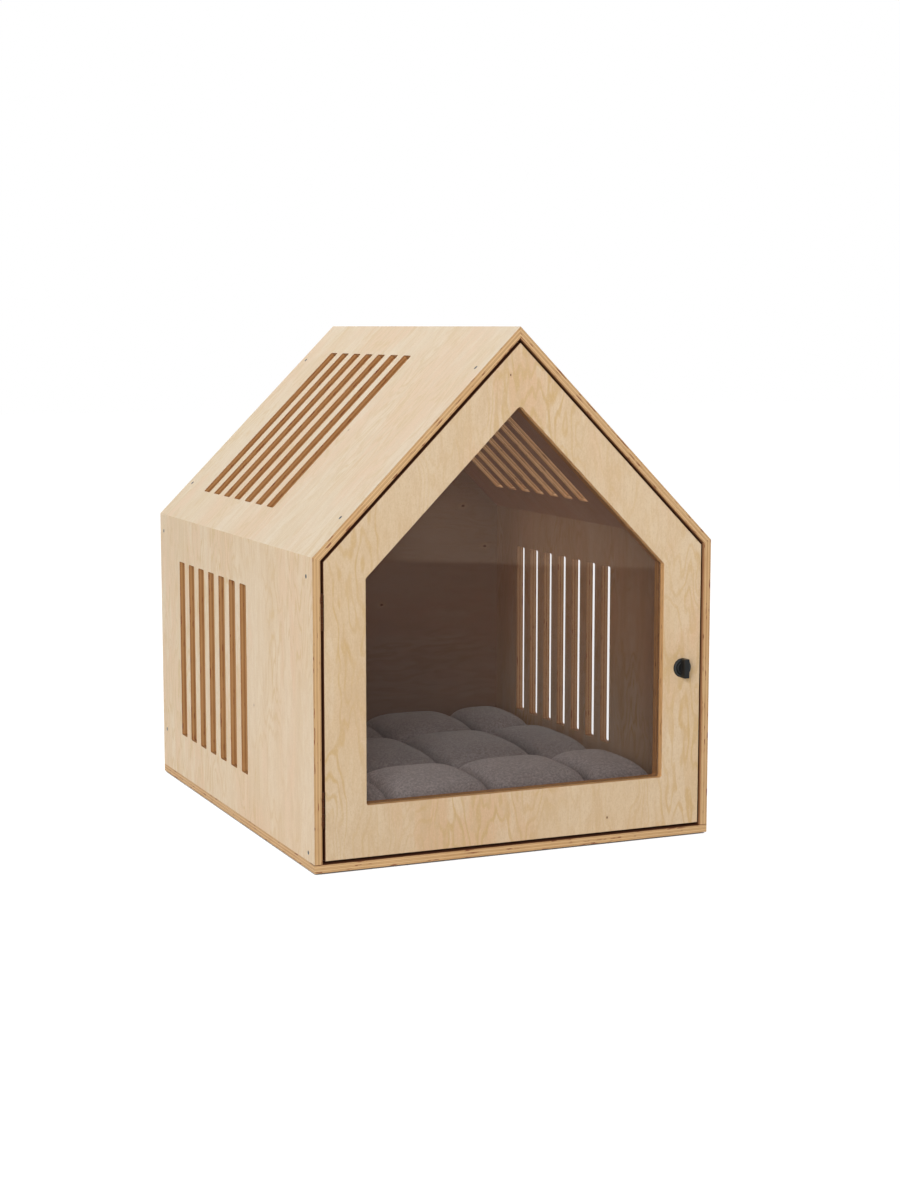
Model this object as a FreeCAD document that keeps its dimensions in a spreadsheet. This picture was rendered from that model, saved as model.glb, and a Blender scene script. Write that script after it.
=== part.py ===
import FreeCAD, Part
import Sketcher
import math
import os

# Wooden dog house with a full-width door, in millimetres.
# X runs to the right, Y from the front to the back, Z up. The origin is the middle of the footprint on the ground.
os.makedirs("parts", exist_ok=True)
Vector = FreeCAD.Vector
doc = FreeCAD.newDocument("dog_house")
dims = doc.addObject("Spreadsheet::Sheet", "dims")

DIMENSIONS = (
    ("house_width", "620"),
    ("house_depth", "750"),
    ("eave_height", "440"),
    ("ply", "12"),
    ("pad_thickness", "2"),
    ("pad_diameter", "25"),
    ("pad_inset", "22"),
    ("knob_reach", "16"),
    ("door_gap", "4"),
    ("door_thickness", "18"),
    ("stile_width", "61.5"),
    ("bottom_rail", "73.5"),
    ("soft_edge", "0.6"),
    ("window_radius", "3"),
    ("apex_radius", "6"),
    ("pane_thickness", "3"),
    ("pane_overlap", "8"),
    ("ring_thickness", "3"),
    ("ring_width", "16"),
    ("fit_gap", "0.25"),
    ("stop_setback", "20"),
    ("stop_margin", "1.8"),
    ("back_setback", "724.5"),
    ("slot_width", "30"),
    ("slot_pitch", "53"),
    ("slot_count", "7"),
    ("slot_start", "292.5"),
    ("slot_radius", "3"),
    ("wall_slot_upper", "70"),
    ("wall_slot_lower", "356.5"),
    ("roof_slot_upper", "62"),
    ("roof_slot_lower", "377"),
    ("screw_shank", "3"),
    ("screw_head", "6"),
    ("screw_length", "32"),
    ("screw_play", "0.1"),
    ("upper_screw_height", "412"),
    ("lower_front_screw_height", "26.3"),
    ("lower_back_screw_height", "76.7"),
    ("roof_upper_screw", "80.4"),
    ("roof_lower_screw", "366.8"),
    ("small_screw_shank", "2"),
    ("small_screw_head", "3.6"),
    ("small_screw_length", "9"),
    ("hinge_height", "50"),
    ("hinge_depth", "15"),
    ("leaf_thickness", "1"),
    ("knuckle_diameter", "3.4"),
    ("knuckle_length", "10"),
    ("knuckle_play", "0.3"),
    ("pin_diameter", "1.6"),
    ("lower_hinge_centre", "90"),
    ("upper_hinge_centre", "365"),
    ("latch_offset", "264"),
    ("latch_height", "253"),
    ("rosette_diameter", "28.4"),
    ("barrel_diameter", "16"),
    ("spindle_diameter", "7"),
    ("cam_length", "30"),
    ("cam_width", "8"),
    ("cam_slot_width", "13"),
    ("cam_slot_height", "36"),
    ("half_width", "=house_width / 2"),
    ("half_ply", "=ply / 2"),
    ("ridge_height", "=eave_height + half_width"),
    ("slope_length", "=half_width * sqrt(2)"),
    ("eave_mitre", "=ply * (sqrt(2) - 1)"),
    ("front_y", "=-(house_depth + knob_reach) / 2 + knob_reach"),
    ("floor_top", "=pad_thickness + ply"),
    ("wall_height", "=eave_height - floor_top"),
    ("shell_half", "=half_width - ply"),
    ("shell_sum", "=ridge_height - ply * sqrt(2)"),
    ("door_half", "=shell_half - door_gap"),
    ("door_bottom", "=floor_top + door_gap"),
    ("door_sum", "=shell_sum - door_gap * sqrt(2)"),
    ("window_half", "=door_half - stile_width"),
    ("window_bottom", "=door_bottom + bottom_rail"),
    ("window_sum", "=door_sum - stile_width * sqrt(2)"),
    ("hinge_axis_x", "=-(shell_half + door_half) / 2"),
    ("strike_y", "=front_y + stop_setback + ply"),
)
for row, (alias, content) in enumerate(DIMENSIONS, start=1):
    dims.set(f"A{row}", alias.replace("_", " "))
    dims.set(f"B{row}", content)
    dims.setAlias(f"B{row}", alias)
doc.recompute()


def value(expression):
    """The number that an expression on the sheet gives."""
    return float(dims.evalExpression(expression))


def place(item, x="0", y="0", z="0", rotation=None):
    """Put an object at three bound coordinates, turned by a rotation."""
    if rotation is not None:
        item.Placement = FreeCAD.Placement(Vector(), rotation)
    for axis, expression in zip("xyz", (x, y, z)):
        item.setExpression(f"Placement.Base.{axis}", expression)


def new_body(label, x="0", y="0", z="0", rotation=None):
    body = doc.addObject("PartDesign::Body", label)
    body.Label = label
    place(body, x, y, z, rotation)
    return body


def origin_item(body, role):
    return next(item for item in body.Origin.OriginFeatures if item.Role == role)


def new_sketch(body, name, role, height="0"):
    """An empty sketch on one of the body's own planes, moved along that plane's normal."""
    sketch = body.newObject("Sketcher::SketchObject", name)
    sketch.AttachmentSupport = [(origin_item(body, role), "")]
    sketch.MapMode = "FlatFace"
    sketch.setExpression("AttachmentOffset.Base.z", height)
    return sketch


def pin_point(sketch, geometry, vertex, x, y):
    """Hold one point of a sketch at two bound coordinates."""
    for kind, expression in (("DistanceX", x), ("DistanceY", y)):
        constraint = Sketcher.Constraint(kind, -1, 1, geometry, vertex, value(expression))
        index = sketch.addConstraint(constraint)
        sketch.setExpression(f"Constraints[{index}]", expression)


def add_polygon(sketch, corners):
    """A closed outline through corners that are each a pair of expressions."""
    points = [Vector(value(x), value(y), 0) for x, y in corners]
    first = sketch.GeometryCount
    count = len(points)
    for i in range(count):
        sketch.addGeometry(Part.LineSegment(points[i], points[(i + 1) % count]))
    for i in range(count):
        sketch.addConstraint(Sketcher.Constraint("Coincident", first + i, 2, first + (i + 1) % count, 1))
    for i, (x, y) in enumerate(corners):
        pin_point(sketch, first + i, 1, x, y)


def add_circle(sketch, x, y, diameter):
    centre = Vector(value(x), value(y), 0)
    index = sketch.addGeometry(Part.Circle(centre, Vector(0, 0, 1), value(diameter) / 2))
    pin_point(sketch, index, 3, x, y)
    size = sketch.addConstraint(Sketcher.Constraint("Diameter", index, value(diameter)))
    sketch.setExpression(f"Constraints[{size}]", diameter)


def box_corners(x0, y0, x1, y1):
    return ((x0, y0), (x1, y0), (x1, y1), (x0, y1))


def gable_corners(name, offset="0"):
    """The five corners of the door, window or shell outline, grown on every side by an offset."""
    half = f"(dims.{name}_half + {offset})"
    top = f"(dims.{name}_sum + ({offset}) * sqrt(2))"
    bottom = f"dims.floor_top - ({offset})" if name == "shell" else f"dims.{name}_bottom - ({offset})"
    eave = f"{top} - {half}"
    return ((f"-{half}", bottom), (half, bottom), (half, eave), ("0", top), (f"-{half}", eave))


def pad(body, sketch, length, flip=False):
    feature = body.newObject("PartDesign::Pad", "pad")
    feature.Profile = sketch
    feature.Reversed = flip
    feature.setExpression("Length", length)
    doc.recompute()
    return feature


def pocket(body, sketch, length=None, flip=False):
    feature = body.newObject("PartDesign::Pocket", "pocket")
    feature.Profile = sketch
    feature.Reversed = flip
    if length is None:
        feature.Type = "ThroughAll"
    else:
        feature.setExpression("Length", length)
    doc.recompute()
    return feature


def countersunk_holes(body, sketch, shank, head, flip=False):
    doc.recompute()
    hole = body.newObject("PartDesign::Hole", "countersunk_holes")
    hole.Profile = sketch
    hole.Reversed = flip
    hole.DepthType = "ThroughAll"
    hole.DrillPoint = "Flat"
    hole.HoleCutType = "Countersink"
    hole.HoleCutCustomValues = True
    hole.setExpression("Diameter", shank)
    hole.setExpression("HoleCutDiameter", head)
    hole.HoleCutCountersinkAngle = 90
    doc.recompute()
    return hole


def bore(body, start, direction, diameter, depth):
    """A blind round hole from a point in the body's frame, along a direction."""
    cutter = body.newObject("PartDesign::SubtractiveCylinder", "bore")
    cutter.AttachmentSupport = [(origin_item(body, "XY_Plane"), "")]
    cutter.MapMode = "FlatFace"
    turn = FreeCAD.Rotation(Vector(0, 0, 1), Vector(*direction))
    cutter.AttachmentOffset = FreeCAD.Placement(Vector(), turn)
    for axis, expression in zip("xyz", start):
        cutter.setExpression(f"AttachmentOffset.Base.{axis}", expression)
    cutter.setExpression("Radius", f"({diameter}) / 2")
    cutter.setExpression("Height", depth)
    return cutter


def round_corners(body, corners, radius):
    """Round the upright corners of an outline whose edges run along the body's Y axis."""
    doc.recompute()
    targets = [(value(x), value(y)) for x, y in corners]
    names = []
    for index, edge in enumerate(body.Shape.Edges, start=1):
        ends = [body.Placement.inverse().multVec(vertex.Point) for vertex in edge.Vertexes]
        for x, z in targets:
            if len(ends) == 2 and all(math.hypot(end.x - x, end.z - z) < 0.01 for end in ends):
                names.append(f"Edge{index}")
    base = body.Tip
    fillet = body.newObject("PartDesign::Fillet", "rounded_corners")
    fillet.Base = (base, names)
    fillet.setExpression("Radius", radius)
    doc.recompute()
    return fillet


def ease_front_edges(body, size):
    """A small chamfer on every straight or round edge that lies in the body's front plane."""
    doc.recompute()
    names = []
    for index, edge in enumerate(body.Shape.Edges, start=1):
        ends = [body.Placement.inverse().multVec(vertex.Point) for vertex in edge.Vertexes]
        if all(abs(end.y) < 0.001 for end in ends):
            names.append(f"Edge{index}")
    base = body.Tip
    chamfer = body.newObject("PartDesign::Chamfer", "eased_edges")
    chamfer.Base = (base, names)
    chamfer.setExpression("Size", size)
    doc.recompute()
    return chamfer


def turned(body, profile):
    """A solid of revolution about the body's Y axis, from pairs of radius and distance."""
    sketch = new_sketch(body, "profile", "XY_Plane")
    add_polygon(sketch, profile)
    feature = body.newObject("PartDesign::Revolution", "turned")
    feature.Profile = sketch
    feature.ReferenceAxis = (origin_item(body, "Y_Axis"), [""])
    feature.Angle = 360
    doc.recompute()
    return feature


# Side panels: each is drawn flat, X down the slope, Y to the back, outer face at Z 0, then turned into place.
def side_panel(label, side, angle, top_x, top_z, length, upper_mitre, lower_mitre, slots, screws):
    turn = FreeCAD.Rotation(Vector(0, 1, 0), side * angle)
    body = new_body(label, f"{side} * ({top_x})", "dims.front_y", top_z, turn)
    section = new_sketch(body, "section", "XZ_Plane")
    add_polygon(section, (
        ("0", "0"),
        (f"{side} * ({length})", "0"),
        (f"{side} * ({length} - {lower_mitre})", "-dims.ply"),
        (f"{side} * ({upper_mitre})", "-dims.ply"),
    ))
    pad(body, section, "dims.house_depth", flip=True)
    slot = new_sketch(body, "slot", "XY_Plane")
    near, far = sorted(slots, key=lambda expression: side * value(expression))
    add_polygon(slot, box_corners(
        f"{side} * {near}", "dims.slot_start", f"{side} * {far}", "dims.slot_start + dims.slot_width",
    ))
    cut = pocket(body, slot)
    pattern = body.newObject("PartDesign::LinearPattern", "slots")
    pattern.Originals = [cut]
    pattern.Direction = (origin_item(body, "Y_Axis"), [""])
    pattern.setExpression("Occurrences", "dims.slot_count")
    pattern.setExpression("Length", "dims.slot_pitch * (dims.slot_count - 1)")
    body.Tip = pattern
    doc.recompute()
    slot_corners = []
    for edge_number, edge in enumerate(body.Shape.Edges, start=1):
        ends = [body.Placement.inverse().multVec(vertex.Point) for vertex in edge.Vertexes]
        flat = math.hypot(ends[0].x - ends[-1].x, ends[0].y - ends[-1].y)
        inside = abs(ends[0].y) > 1 and abs(ends[0].y - value("dims.house_depth")) > 1
        if flat < 0.001 and inside:
            slot_corners.append(f"Edge{edge_number}")
    rounding = body.newObject("PartDesign::Fillet", "slot_corners")
    rounding.Base = (pattern, slot_corners)
    rounding.setExpression("Radius", "dims.slot_radius")
    heads = new_sketch(body, "screw_holes", "XY_Plane")
    for along, across in screws:
        add_circle(heads, f"{side} * ({along})", across, "dims.screw_shank + dims.screw_play")
    countersunk_holes(body, heads, "dims.screw_shank + dims.screw_play", "dims.screw_head + 2 * dims.screw_play")
    return body


STOP_CENTRE = "(dims.stop_setback + dims.half_ply)"
BACK_CENTRE = "(dims.back_setback + dims.half_ply)"
WALL_SCREWS = (
    ("dims.eave_height - dims.upper_screw_height", STOP_CENTRE),
    ("dims.eave_height - dims.lower_front_screw_height", STOP_CENTRE),
    ("dims.eave_height - dims.upper_screw_height", BACK_CENTRE),
    ("dims.eave_height - dims.lower_back_screw_height", BACK_CENTRE),
)
ROOF_SCREWS = (
    ("dims.roof_upper_screw", STOP_CENTRE),
    ("dims.roof_lower_screw", STOP_CENTRE),
    ("dims.roof_upper_screw", BACK_CENTRE),
    ("dims.roof_lower_screw", BACK_CENTRE),
)
PILOT = "dims.screw_shank + dims.screw_play"
SMALL_PILOT = "dims.small_screw_shank + dims.screw_play"
SIDES = (("left", -1), ("right", 1))
FLOOR_SCREW_ROWS = ("70", "275", "480", "685")
FLOOR_SCREW_COLUMNS = ("-150", "150")
parts = {}
for word, side in SIDES:
    wall = side_panel(
        f"{word}_wall_panel", side, 90, "dims.half_width", "dims.eave_height", "dims.wall_height",
        "dims.eave_mitre", "0", ("dims.wall_slot_upper", "dims.wall_slot_lower"), WALL_SCREWS,
    )
    for row in FLOOR_SCREW_ROWS:
        bore(
            wall, (f"{side} * dims.wall_height", row, "-dims.half_ply"), (-side, 0, 0),
            PILOT, "dims.screw_length - dims.ply + 1",
        )
    parts[wall.Label] = wall
    roof = side_panel(
        f"{word}_roof_panel", side, 45, "0", "dims.ridge_height", "dims.slope_length",
        "dims.ply", "dims.eave_mitre", ("dims.roof_slot_upper", "dims.roof_slot_lower"), ROOF_SCREWS,
    )
    parts[roof.Label] = roof

# Floor panel and its pads
floor = new_body("floor_panel", "0", "dims.front_y", "dims.pad_thickness")
outline = new_sketch(floor, "outline", "XY_Plane")
add_polygon(outline, box_corners("-dims.half_width", "0", "dims.half_width", "dims.house_depth"))
pad(floor, outline, "dims.ply")
floor_holes = new_sketch(floor, "screw_holes", "XY_Plane")
floor_points = []
for word, side in SIDES:
    for row in FLOOR_SCREW_ROWS:
        floor_points.append((f"{side} * (dims.half_width - dims.half_ply)", row))
for column in FLOOR_SCREW_COLUMNS:
    floor_points.append((column, STOP_CENTRE))
    floor_points.append((column, BACK_CENTRE))
for x, y in floor_points:
    add_circle(floor_holes, x, y, PILOT)
countersunk_holes(floor, floor_holes, PILOT, "dims.screw_head + 2 * dims.screw_play", flip=True)
parts["floor_panel"] = floor


def compound(label, items):
    group = doc.addObject("Part::Compound", label)
    group.Label = label
    group.Links = items
    parts[label] = group
    return group


foot_pads = []
for x_side in (-1, 1):
    for y_place in ("dims.front_y + dims.pad_inset", "dims.front_y + dims.house_depth - dims.pad_inset"):
        foot = doc.addObject("Part::Cylinder", "foot_pad")
        foot.setExpression("Radius", "dims.pad_diameter / 2")
        foot.setExpression("Height", "dims.pad_thickness")
        place(foot, f"{x_side} * (dims.half_width - dims.pad_inset)", y_place, "0")
        foot_pads.append(foot)
compound("foot_pads", foot_pads)


def gable_plate(label, setback, thickness, outline_name, offset="0"):
    """A plate with the five-cornered outline, front face at the setback behind the house's front plane."""
    body = new_body(label, "0", f"dims.front_y + {setback}")
    sketch = new_sketch(body, "outline", "XZ_Plane")
    add_polygon(sketch, gable_corners(outline_name, offset))
    pad(body, sketch, thickness, flip=True)
    return body


def shell_pilots(body, upper_height, lower_height):
    """Pilot holes for the screws that come in through the walls and the roof."""
    depth = "dims.screw_length - dims.ply + 1"
    for word, side in SIDES:
        for height in (upper_height, lower_height):
            bore(body, (f"{side} * dims.shell_half", "dims.half_ply", height), (-side, 0, 0), PILOT, depth)
        for distance in ("dims.roof_upper_screw", "dims.roof_lower_screw"):
            across = f"({distance} - dims.ply) / sqrt(2)"
            height = f"dims.ridge_height - ({distance} + dims.ply) / sqrt(2)"
            bore(body, (f"{side} * {across}", "dims.half_ply", height), (-side, 0, -1), PILOT, depth)
    for column in FLOOR_SCREW_COLUMNS:
        bore(body, (column, "dims.half_ply", "dims.floor_top"), (0, 0, 1), PILOT, depth)


# Back panel
back = gable_plate("back_panel", "dims.back_setback", "dims.ply", "shell")
shell_pilots(back, "dims.upper_screw_height", "dims.lower_back_screw_height")
parts["back_panel"] = back

# Stop frame that the door shuts against, with the slot for the latch cam
stop = gable_plate("door_stop_frame", "dims.stop_setback", "dims.ply", "shell")
opening = new_sketch(stop, "opening", "XZ_Plane")
add_polygon(opening, gable_corners("window", "dims.stop_margin"))
pocket(stop, opening)
round_corners(stop, gable_corners("window", "dims.stop_margin"), "dims.window_radius")
cam_slot = new_sketch(stop, "cam_slot", "XZ_Plane")
add_polygon(cam_slot, box_corners(
    "dims.latch_offset - dims.cam_slot_width / 2", "dims.latch_height - dims.cam_slot_height / 2",
    "dims.latch_offset + dims.cam_slot_width / 2", "dims.latch_height + dims.cam_slot_height / 2",
))
pocket(stop, cam_slot)
shell_pilots(stop, "dims.upper_screw_height", "dims.lower_front_screw_height")
STRIKE_SCREW_REACH = "27"
for sign in ("-", "+"):
    bore(
        stop, ("dims.latch_offset", "dims.ply", f"dims.latch_height {sign} {STRIKE_SCREW_REACH}"),
        (0, -1, 0), PILOT, "9",
    )
parts["door_stop_frame"] = stop

# Door
door = gable_plate("door_frame", "0", "dims.door_thickness", "door")
window = new_sketch(door, "window", "XZ_Plane")
add_polygon(window, gable_corners("window"))
pocket(door, window)
window_points = gable_corners("window")
round_corners(door, window_points[:3] + window_points[4:], "dims.window_radius")
round_corners(door, window_points[3:4], "dims.apex_radius")
ease_front_edges(door, "dims.soft_edge")
for name, offset, depth in (
    ("pane_seat", "dims.pane_overlap", "dims.pane_thickness + dims.ring_thickness"),
    ("ring_seat", "dims.ring_width", "dims.ring_thickness"),
):
    seat = new_sketch(door, name, "XZ_Plane", "-dims.door_thickness")
    add_polygon(seat, gable_corners("window", offset))
    pocket(door, seat, depth, flip=True)
    round_corners(door, gable_corners("window", offset), "dims.window_radius")
NUT_DIAMETER = "22"
NUT_THICKNESS = "4"
barrel_hole = new_sketch(door, "barrel_hole", "XZ_Plane")
add_circle(barrel_hole, "dims.latch_offset", "dims.latch_height", "dims.barrel_diameter + 2 * dims.screw_play")
pocket(door, barrel_hole)
nut_seat = new_sketch(door, "nut_seat", "XZ_Plane", "-dims.door_thickness")
add_circle(nut_seat, "dims.latch_offset", "dims.latch_height", f"{NUT_DIAMETER} + 2 * dims.fit_gap")
pocket(door, nut_seat, NUT_THICKNESS, flip=True)
HINGES = (("lower", "dims.lower_hinge_centre"), ("upper", "dims.upper_hinge_centre"))
HINGE_SCREW_DEPTH = "9"
HINGE_SCREW_REACH = "15"
hinge_screw_heights = []
for word, centre in HINGES:
    for sign in ("-", "+"):
        hinge_screw_heights.append(f"({centre} {sign} {HINGE_SCREW_REACH})")
for height in hinge_screw_heights:
    bore(
        door, ("-dims.door_half", HINGE_SCREW_DEPTH, height), (1, 0, 0),
        SMALL_PILOT, "dims.small_screw_length",
    )
    bore(
        parts["left_wall_panel"], (f"{height} - dims.eave_height", HINGE_SCREW_DEPTH, "-dims.ply"), (0, 0, 1),
        SMALL_PILOT, "dims.small_screw_length",
    )

# Window pane and the ring that holds it from behind
pane = gable_plate("window_pane", "dims.ply", "dims.pane_thickness", "window", "dims.pane_overlap - dims.fit_gap")
round_corners(pane, gable_corners("window", "dims.pane_overlap - dims.fit_gap"), "dims.window_radius")
parts["window_pane"] = pane
ring = gable_plate(
    "pane_retaining_ring", "dims.ply + dims.pane_thickness", "dims.ring_thickness",
    "window", "dims.ring_width - dims.fit_gap",
)
round_corners(ring, gable_corners("window", "dims.ring_width - dims.fit_gap"), "dims.window_radius")
ring_opening = new_sketch(ring, "opening", "XZ_Plane")
add_polygon(ring_opening, gable_corners("window", "0.5"))
pocket(ring, ring_opening)
round_corners(ring, gable_corners("window", "0.5"), "dims.window_radius")
RING_LINE = "11.9"
RING_SIDE_HEIGHTS = ("130", "250", "370")
RING_BOTTOM_OFFSETS = ("-150", "0", "150")
RING_SLOPE_OFFSETS = ("35", "112", "190")
ring_points = []
for column in RING_BOTTOM_OFFSETS:
    ring_points.append((column, f"dims.window_bottom - {RING_LINE}"))
for word, side in SIDES:
    for height in RING_SIDE_HEIGHTS:
        ring_points.append((f"{side} * (dims.window_half + {RING_LINE})", height))
    for column in RING_SLOPE_OFFSETS:
        ring_points.append((f"{side} * {column}", f"dims.window_sum + {RING_LINE} * sqrt(2) - {column}"))
ring_holes = new_sketch(ring, "screw_holes", "XZ_Plane", "-dims.ring_thickness")
for x, z in ring_points:
    add_circle(ring_holes, x, z, SMALL_PILOT)
countersunk_holes(ring, ring_holes, SMALL_PILOT, "dims.small_screw_head + 2 * dims.screw_play", flip=True)
parts["pane_retaining_ring"] = ring
for x, z in ring_points:
    bore(
        door, (x, "dims.door_thickness - dims.ring_thickness", z), (0, -1, 0),
        SMALL_PILOT, "dims.small_screw_length - dims.ring_thickness",
    )
parts["door_frame"] = door


# Screws: one model of each size, its head at the origin and its shank down, copied to every place
def screw_model(name, head, shank, length):
    head_radius = value(head) / 2
    shank_radius = value(shank) / 2
    head_depth = f"({head} - {shank}) / 2"
    tip_length = shank
    head_cone = doc.addObject("Part::Cone", f"{name}_head")
    head_cone.setExpression("Radius1", f"({shank}) / 2")
    head_cone.setExpression("Radius2", f"({head}) / 2")
    head_cone.setExpression("Height", head_depth)
    place(head_cone, "0", "0", f"-({head_depth})")
    body_cylinder = doc.addObject("Part::Cylinder", f"{name}_shank")
    body_cylinder.setExpression("Radius", f"({shank}) / 2")
    body_cylinder.setExpression("Height", f"{length} - {head_depth} - {tip_length}")
    place(body_cylinder, "0", "0", f"-({length} - {tip_length})")
    tip = doc.addObject("Part::Cone", f"{name}_tip")
    tip.setExpression("Radius1", f"({shank}) / 10")
    tip.setExpression("Radius2", f"({shank}) / 2")
    tip.setExpression("Height", tip_length)
    place(tip, "0", "0", f"-({length})")
    whole = doc.addObject("Part::MultiFuse", f"{name}_blank")
    whole.Shapes = [head_cone, body_cylinder, tip]
    blades = []
    for length_factor, width_factor in ((0.6, 0.16), (0.16, 0.6)):
        blade = doc.addObject("Part::Box", f"{name}_blade")
        blade.setExpression("Length", f"({head}) * {length_factor}")
        blade.setExpression("Width", f"({head}) * {width_factor}")
        blade.setExpression("Height", f"({head}) * 0.25")
        place(
            blade, f"-({head}) * {length_factor} / 2", f"-({head}) * {width_factor} / 2", f"-({head}) * 0.25",
        )
        blades.append(blade)
    cross = doc.addObject("Part::MultiFuse", f"{name}_cross")
    cross.Shapes = blades
    model = doc.addObject("Part::Cut", name)
    model.Base = whole
    model.Tool = cross
    return model


def screw_group(label, model, places):
    """Copies of a screw model, each given as three bound coordinates and the way the shank points."""
    copies = []
    for x, y, z, direction in places:
        screw = doc.addObject("App::Link", f"{label}_item")
        screw.LinkedObject = model
        turn = FreeCAD.Rotation(Vector(0, 0, -1), Vector(*direction))
        place(screw, x, y, z, turn)
        copies.append(screw)
    return compound(label, copies)


long_screw = screw_model("long_screw", "dims.screw_head", "dims.screw_shank", "dims.screw_length")
small_screw = screw_model(
    "small_screw", "dims.small_screw_head", "dims.small_screw_shank", "dims.small_screw_length",
)
strike_screw = screw_model("strike_screw", "dims.screw_head", "dims.screw_shank", "10")
shell_screw_places = []
for setback_centre, lower in (
    (STOP_CENTRE, "dims.lower_front_screw_height"), (BACK_CENTRE, "dims.lower_back_screw_height"),
):
    y = f"dims.front_y + {setback_centre}"
    for word, side in SIDES:
        for height in ("dims.upper_screw_height", lower):
            shell_screw_places.append((f"{side} * dims.half_width", y, height, (-side, 0, 0)))
        for distance in ("dims.roof_upper_screw", "dims.roof_lower_screw"):
            drop = f"({distance}) / sqrt(2)"
            shell_screw_places.append((f"{side} * {drop}", y, f"dims.ridge_height - {drop}", (-side, 0, -1)))
screw_group("shell_screws", long_screw, shell_screw_places)
screw_group("floor_screws", long_screw, [
    (x, f"dims.front_y + {y}", "dims.pad_thickness", (0, 0, 1)) for x, y in floor_points
])
leaf_gap = "dims.leaf_thickness"
screw_group("hinge_wall_screws", small_screw, [
    (f"-(dims.shell_half - {leaf_gap})", f"dims.front_y + {HINGE_SCREW_DEPTH}", height, (-1, 0, 0))
    for height in hinge_screw_heights
])
screw_group("hinge_door_screws", small_screw, [
    (f"-(dims.door_half + {leaf_gap})", f"dims.front_y + {HINGE_SCREW_DEPTH}", height, (1, 0, 0))
    for height in hinge_screw_heights
])
screw_group("retaining_ring_screws", small_screw, [
    (x, "dims.front_y + dims.door_thickness", z, (0, -1, 0)) for x, z in ring_points
])
screw_group("strike_plate_screws", strike_screw, [
    ("dims.latch_offset", "dims.strike_y + 2", f"dims.latch_height {sign} {STRIKE_SCREW_REACH}", (0, -1, 0))
    for sign in ("-", "+")
])

# Butt hinges in the gap on the left: the wall leaf has three knuckles, the door leaf two
KNUCKLE_PITCH = "dims.knuckle_length"
PLATE_CLEARANCE = "2.2"


def hinge_leaf(label, centre, side, knuckles, bore_play):
    """A leaf on one side of the pin. Its knuckles are numbered from -2 at the bottom to 2 at the top."""
    body = new_body(label, "dims.hinge_axis_x", "dims.front_y", centre)
    inner = "(dims.door_gap / 2 - dims.leaf_thickness)"
    plate = new_sketch(body, "plate", "YZ_Plane", f"{side} * {inner}")
    corners = [("dims.hinge_depth", "-dims.hinge_height / 2"), ("dims.hinge_depth", "dims.hinge_height / 2")]
    for number in (2, 1, 0, -1, -2):
        reach = "0" if number in knuckles else PLATE_CLEARANCE
        play = "-" if number in knuckles else "+"
        top = f"({number} + 0.5) * {KNUCKLE_PITCH}"
        low = f"({number} - 0.5) * {KNUCKLE_PITCH}"
        if number < 2:
            top = f"{top} {play} dims.knuckle_play / 2"
        if number > -2:
            low = f"{low} {'+' if play == '-' else '-'} dims.knuckle_play / 2"
        corners.append((reach, top))
        corners.append((reach, low))
    add_polygon(plate, corners)
    pad(body, plate, "dims.leaf_thickness", flip=side < 0)
    for number in knuckles:
        low = f"({number} - 0.5) * {KNUCKLE_PITCH}"
        length = KNUCKLE_PITCH
        if number > -2:
            low = f"{low} + dims.knuckle_play / 2"
            length = f"{length} - dims.knuckle_play / 2"
        if number < 2:
            length = f"{length} - dims.knuckle_play / 2"
        ring_sketch = new_sketch(body, "knuckle", "XY_Plane", low)
        add_circle(ring_sketch, "0", "0", "dims.knuckle_diameter")
        pad(body, ring_sketch, length)
    pin_hole = new_sketch(body, "pin_hole", "XY_Plane", "-dims.hinge_height")
    add_circle(pin_hole, "0", "0", f"dims.pin_diameter + 2 * {bore_play}")
    pocket(body, pin_hole, "2 * dims.hinge_height", flip=True)
    holes = new_sketch(body, "screw_holes", "YZ_Plane", f"{side} * {inner}")
    for sign in ("-", "+"):
        add_circle(holes, HINGE_SCREW_DEPTH, f"{sign}{HINGE_SCREW_REACH}", SMALL_PILOT)
    countersunk_holes(
        body, holes, SMALL_PILOT, "dims.small_screw_head + 2 * dims.screw_play", flip=side > 0,
    )
    parts[label] = body


for word, centre in HINGES:
    hinge_leaf(f"{word}_hinge_wall_leaf", centre, -1, (-2, 0, 2), "0.02")
    hinge_leaf(f"{word}_hinge_door_leaf", centre, 1, (-1, 1), "0.05")
    pin_shaft = doc.addObject("Part::Cylinder", f"{word}_pin_shaft")
    pin_shaft.setExpression("Radius", "dims.pin_diameter / 2")
    pin_shaft.setExpression("Height", "dims.hinge_height")
    place(pin_shaft, "dims.hinge_axis_x", "dims.front_y", f"{centre} - dims.hinge_height / 2")
    heads = [pin_shaft]
    for offset in ("-dims.hinge_height / 2 - 0.8", "dims.hinge_height / 2"):
        pin_head = doc.addObject("Part::Cylinder", f"{word}_pin_head")
        pin_head.setExpression("Radius", "dims.knuckle_diameter / 2 - 0.2")
        pin_head.Height = 0.8
        place(pin_head, "dims.hinge_axis_x", "dims.front_y", f"{centre} + ({offset})")
        heads.append(pin_head)
    pin = doc.addObject("Part::MultiFuse", f"{word}_hinge_pin")
    pin.Label = f"{word}_hinge_pin"
    pin.Shapes = heads
    parts[pin.Label] = pin

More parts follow.
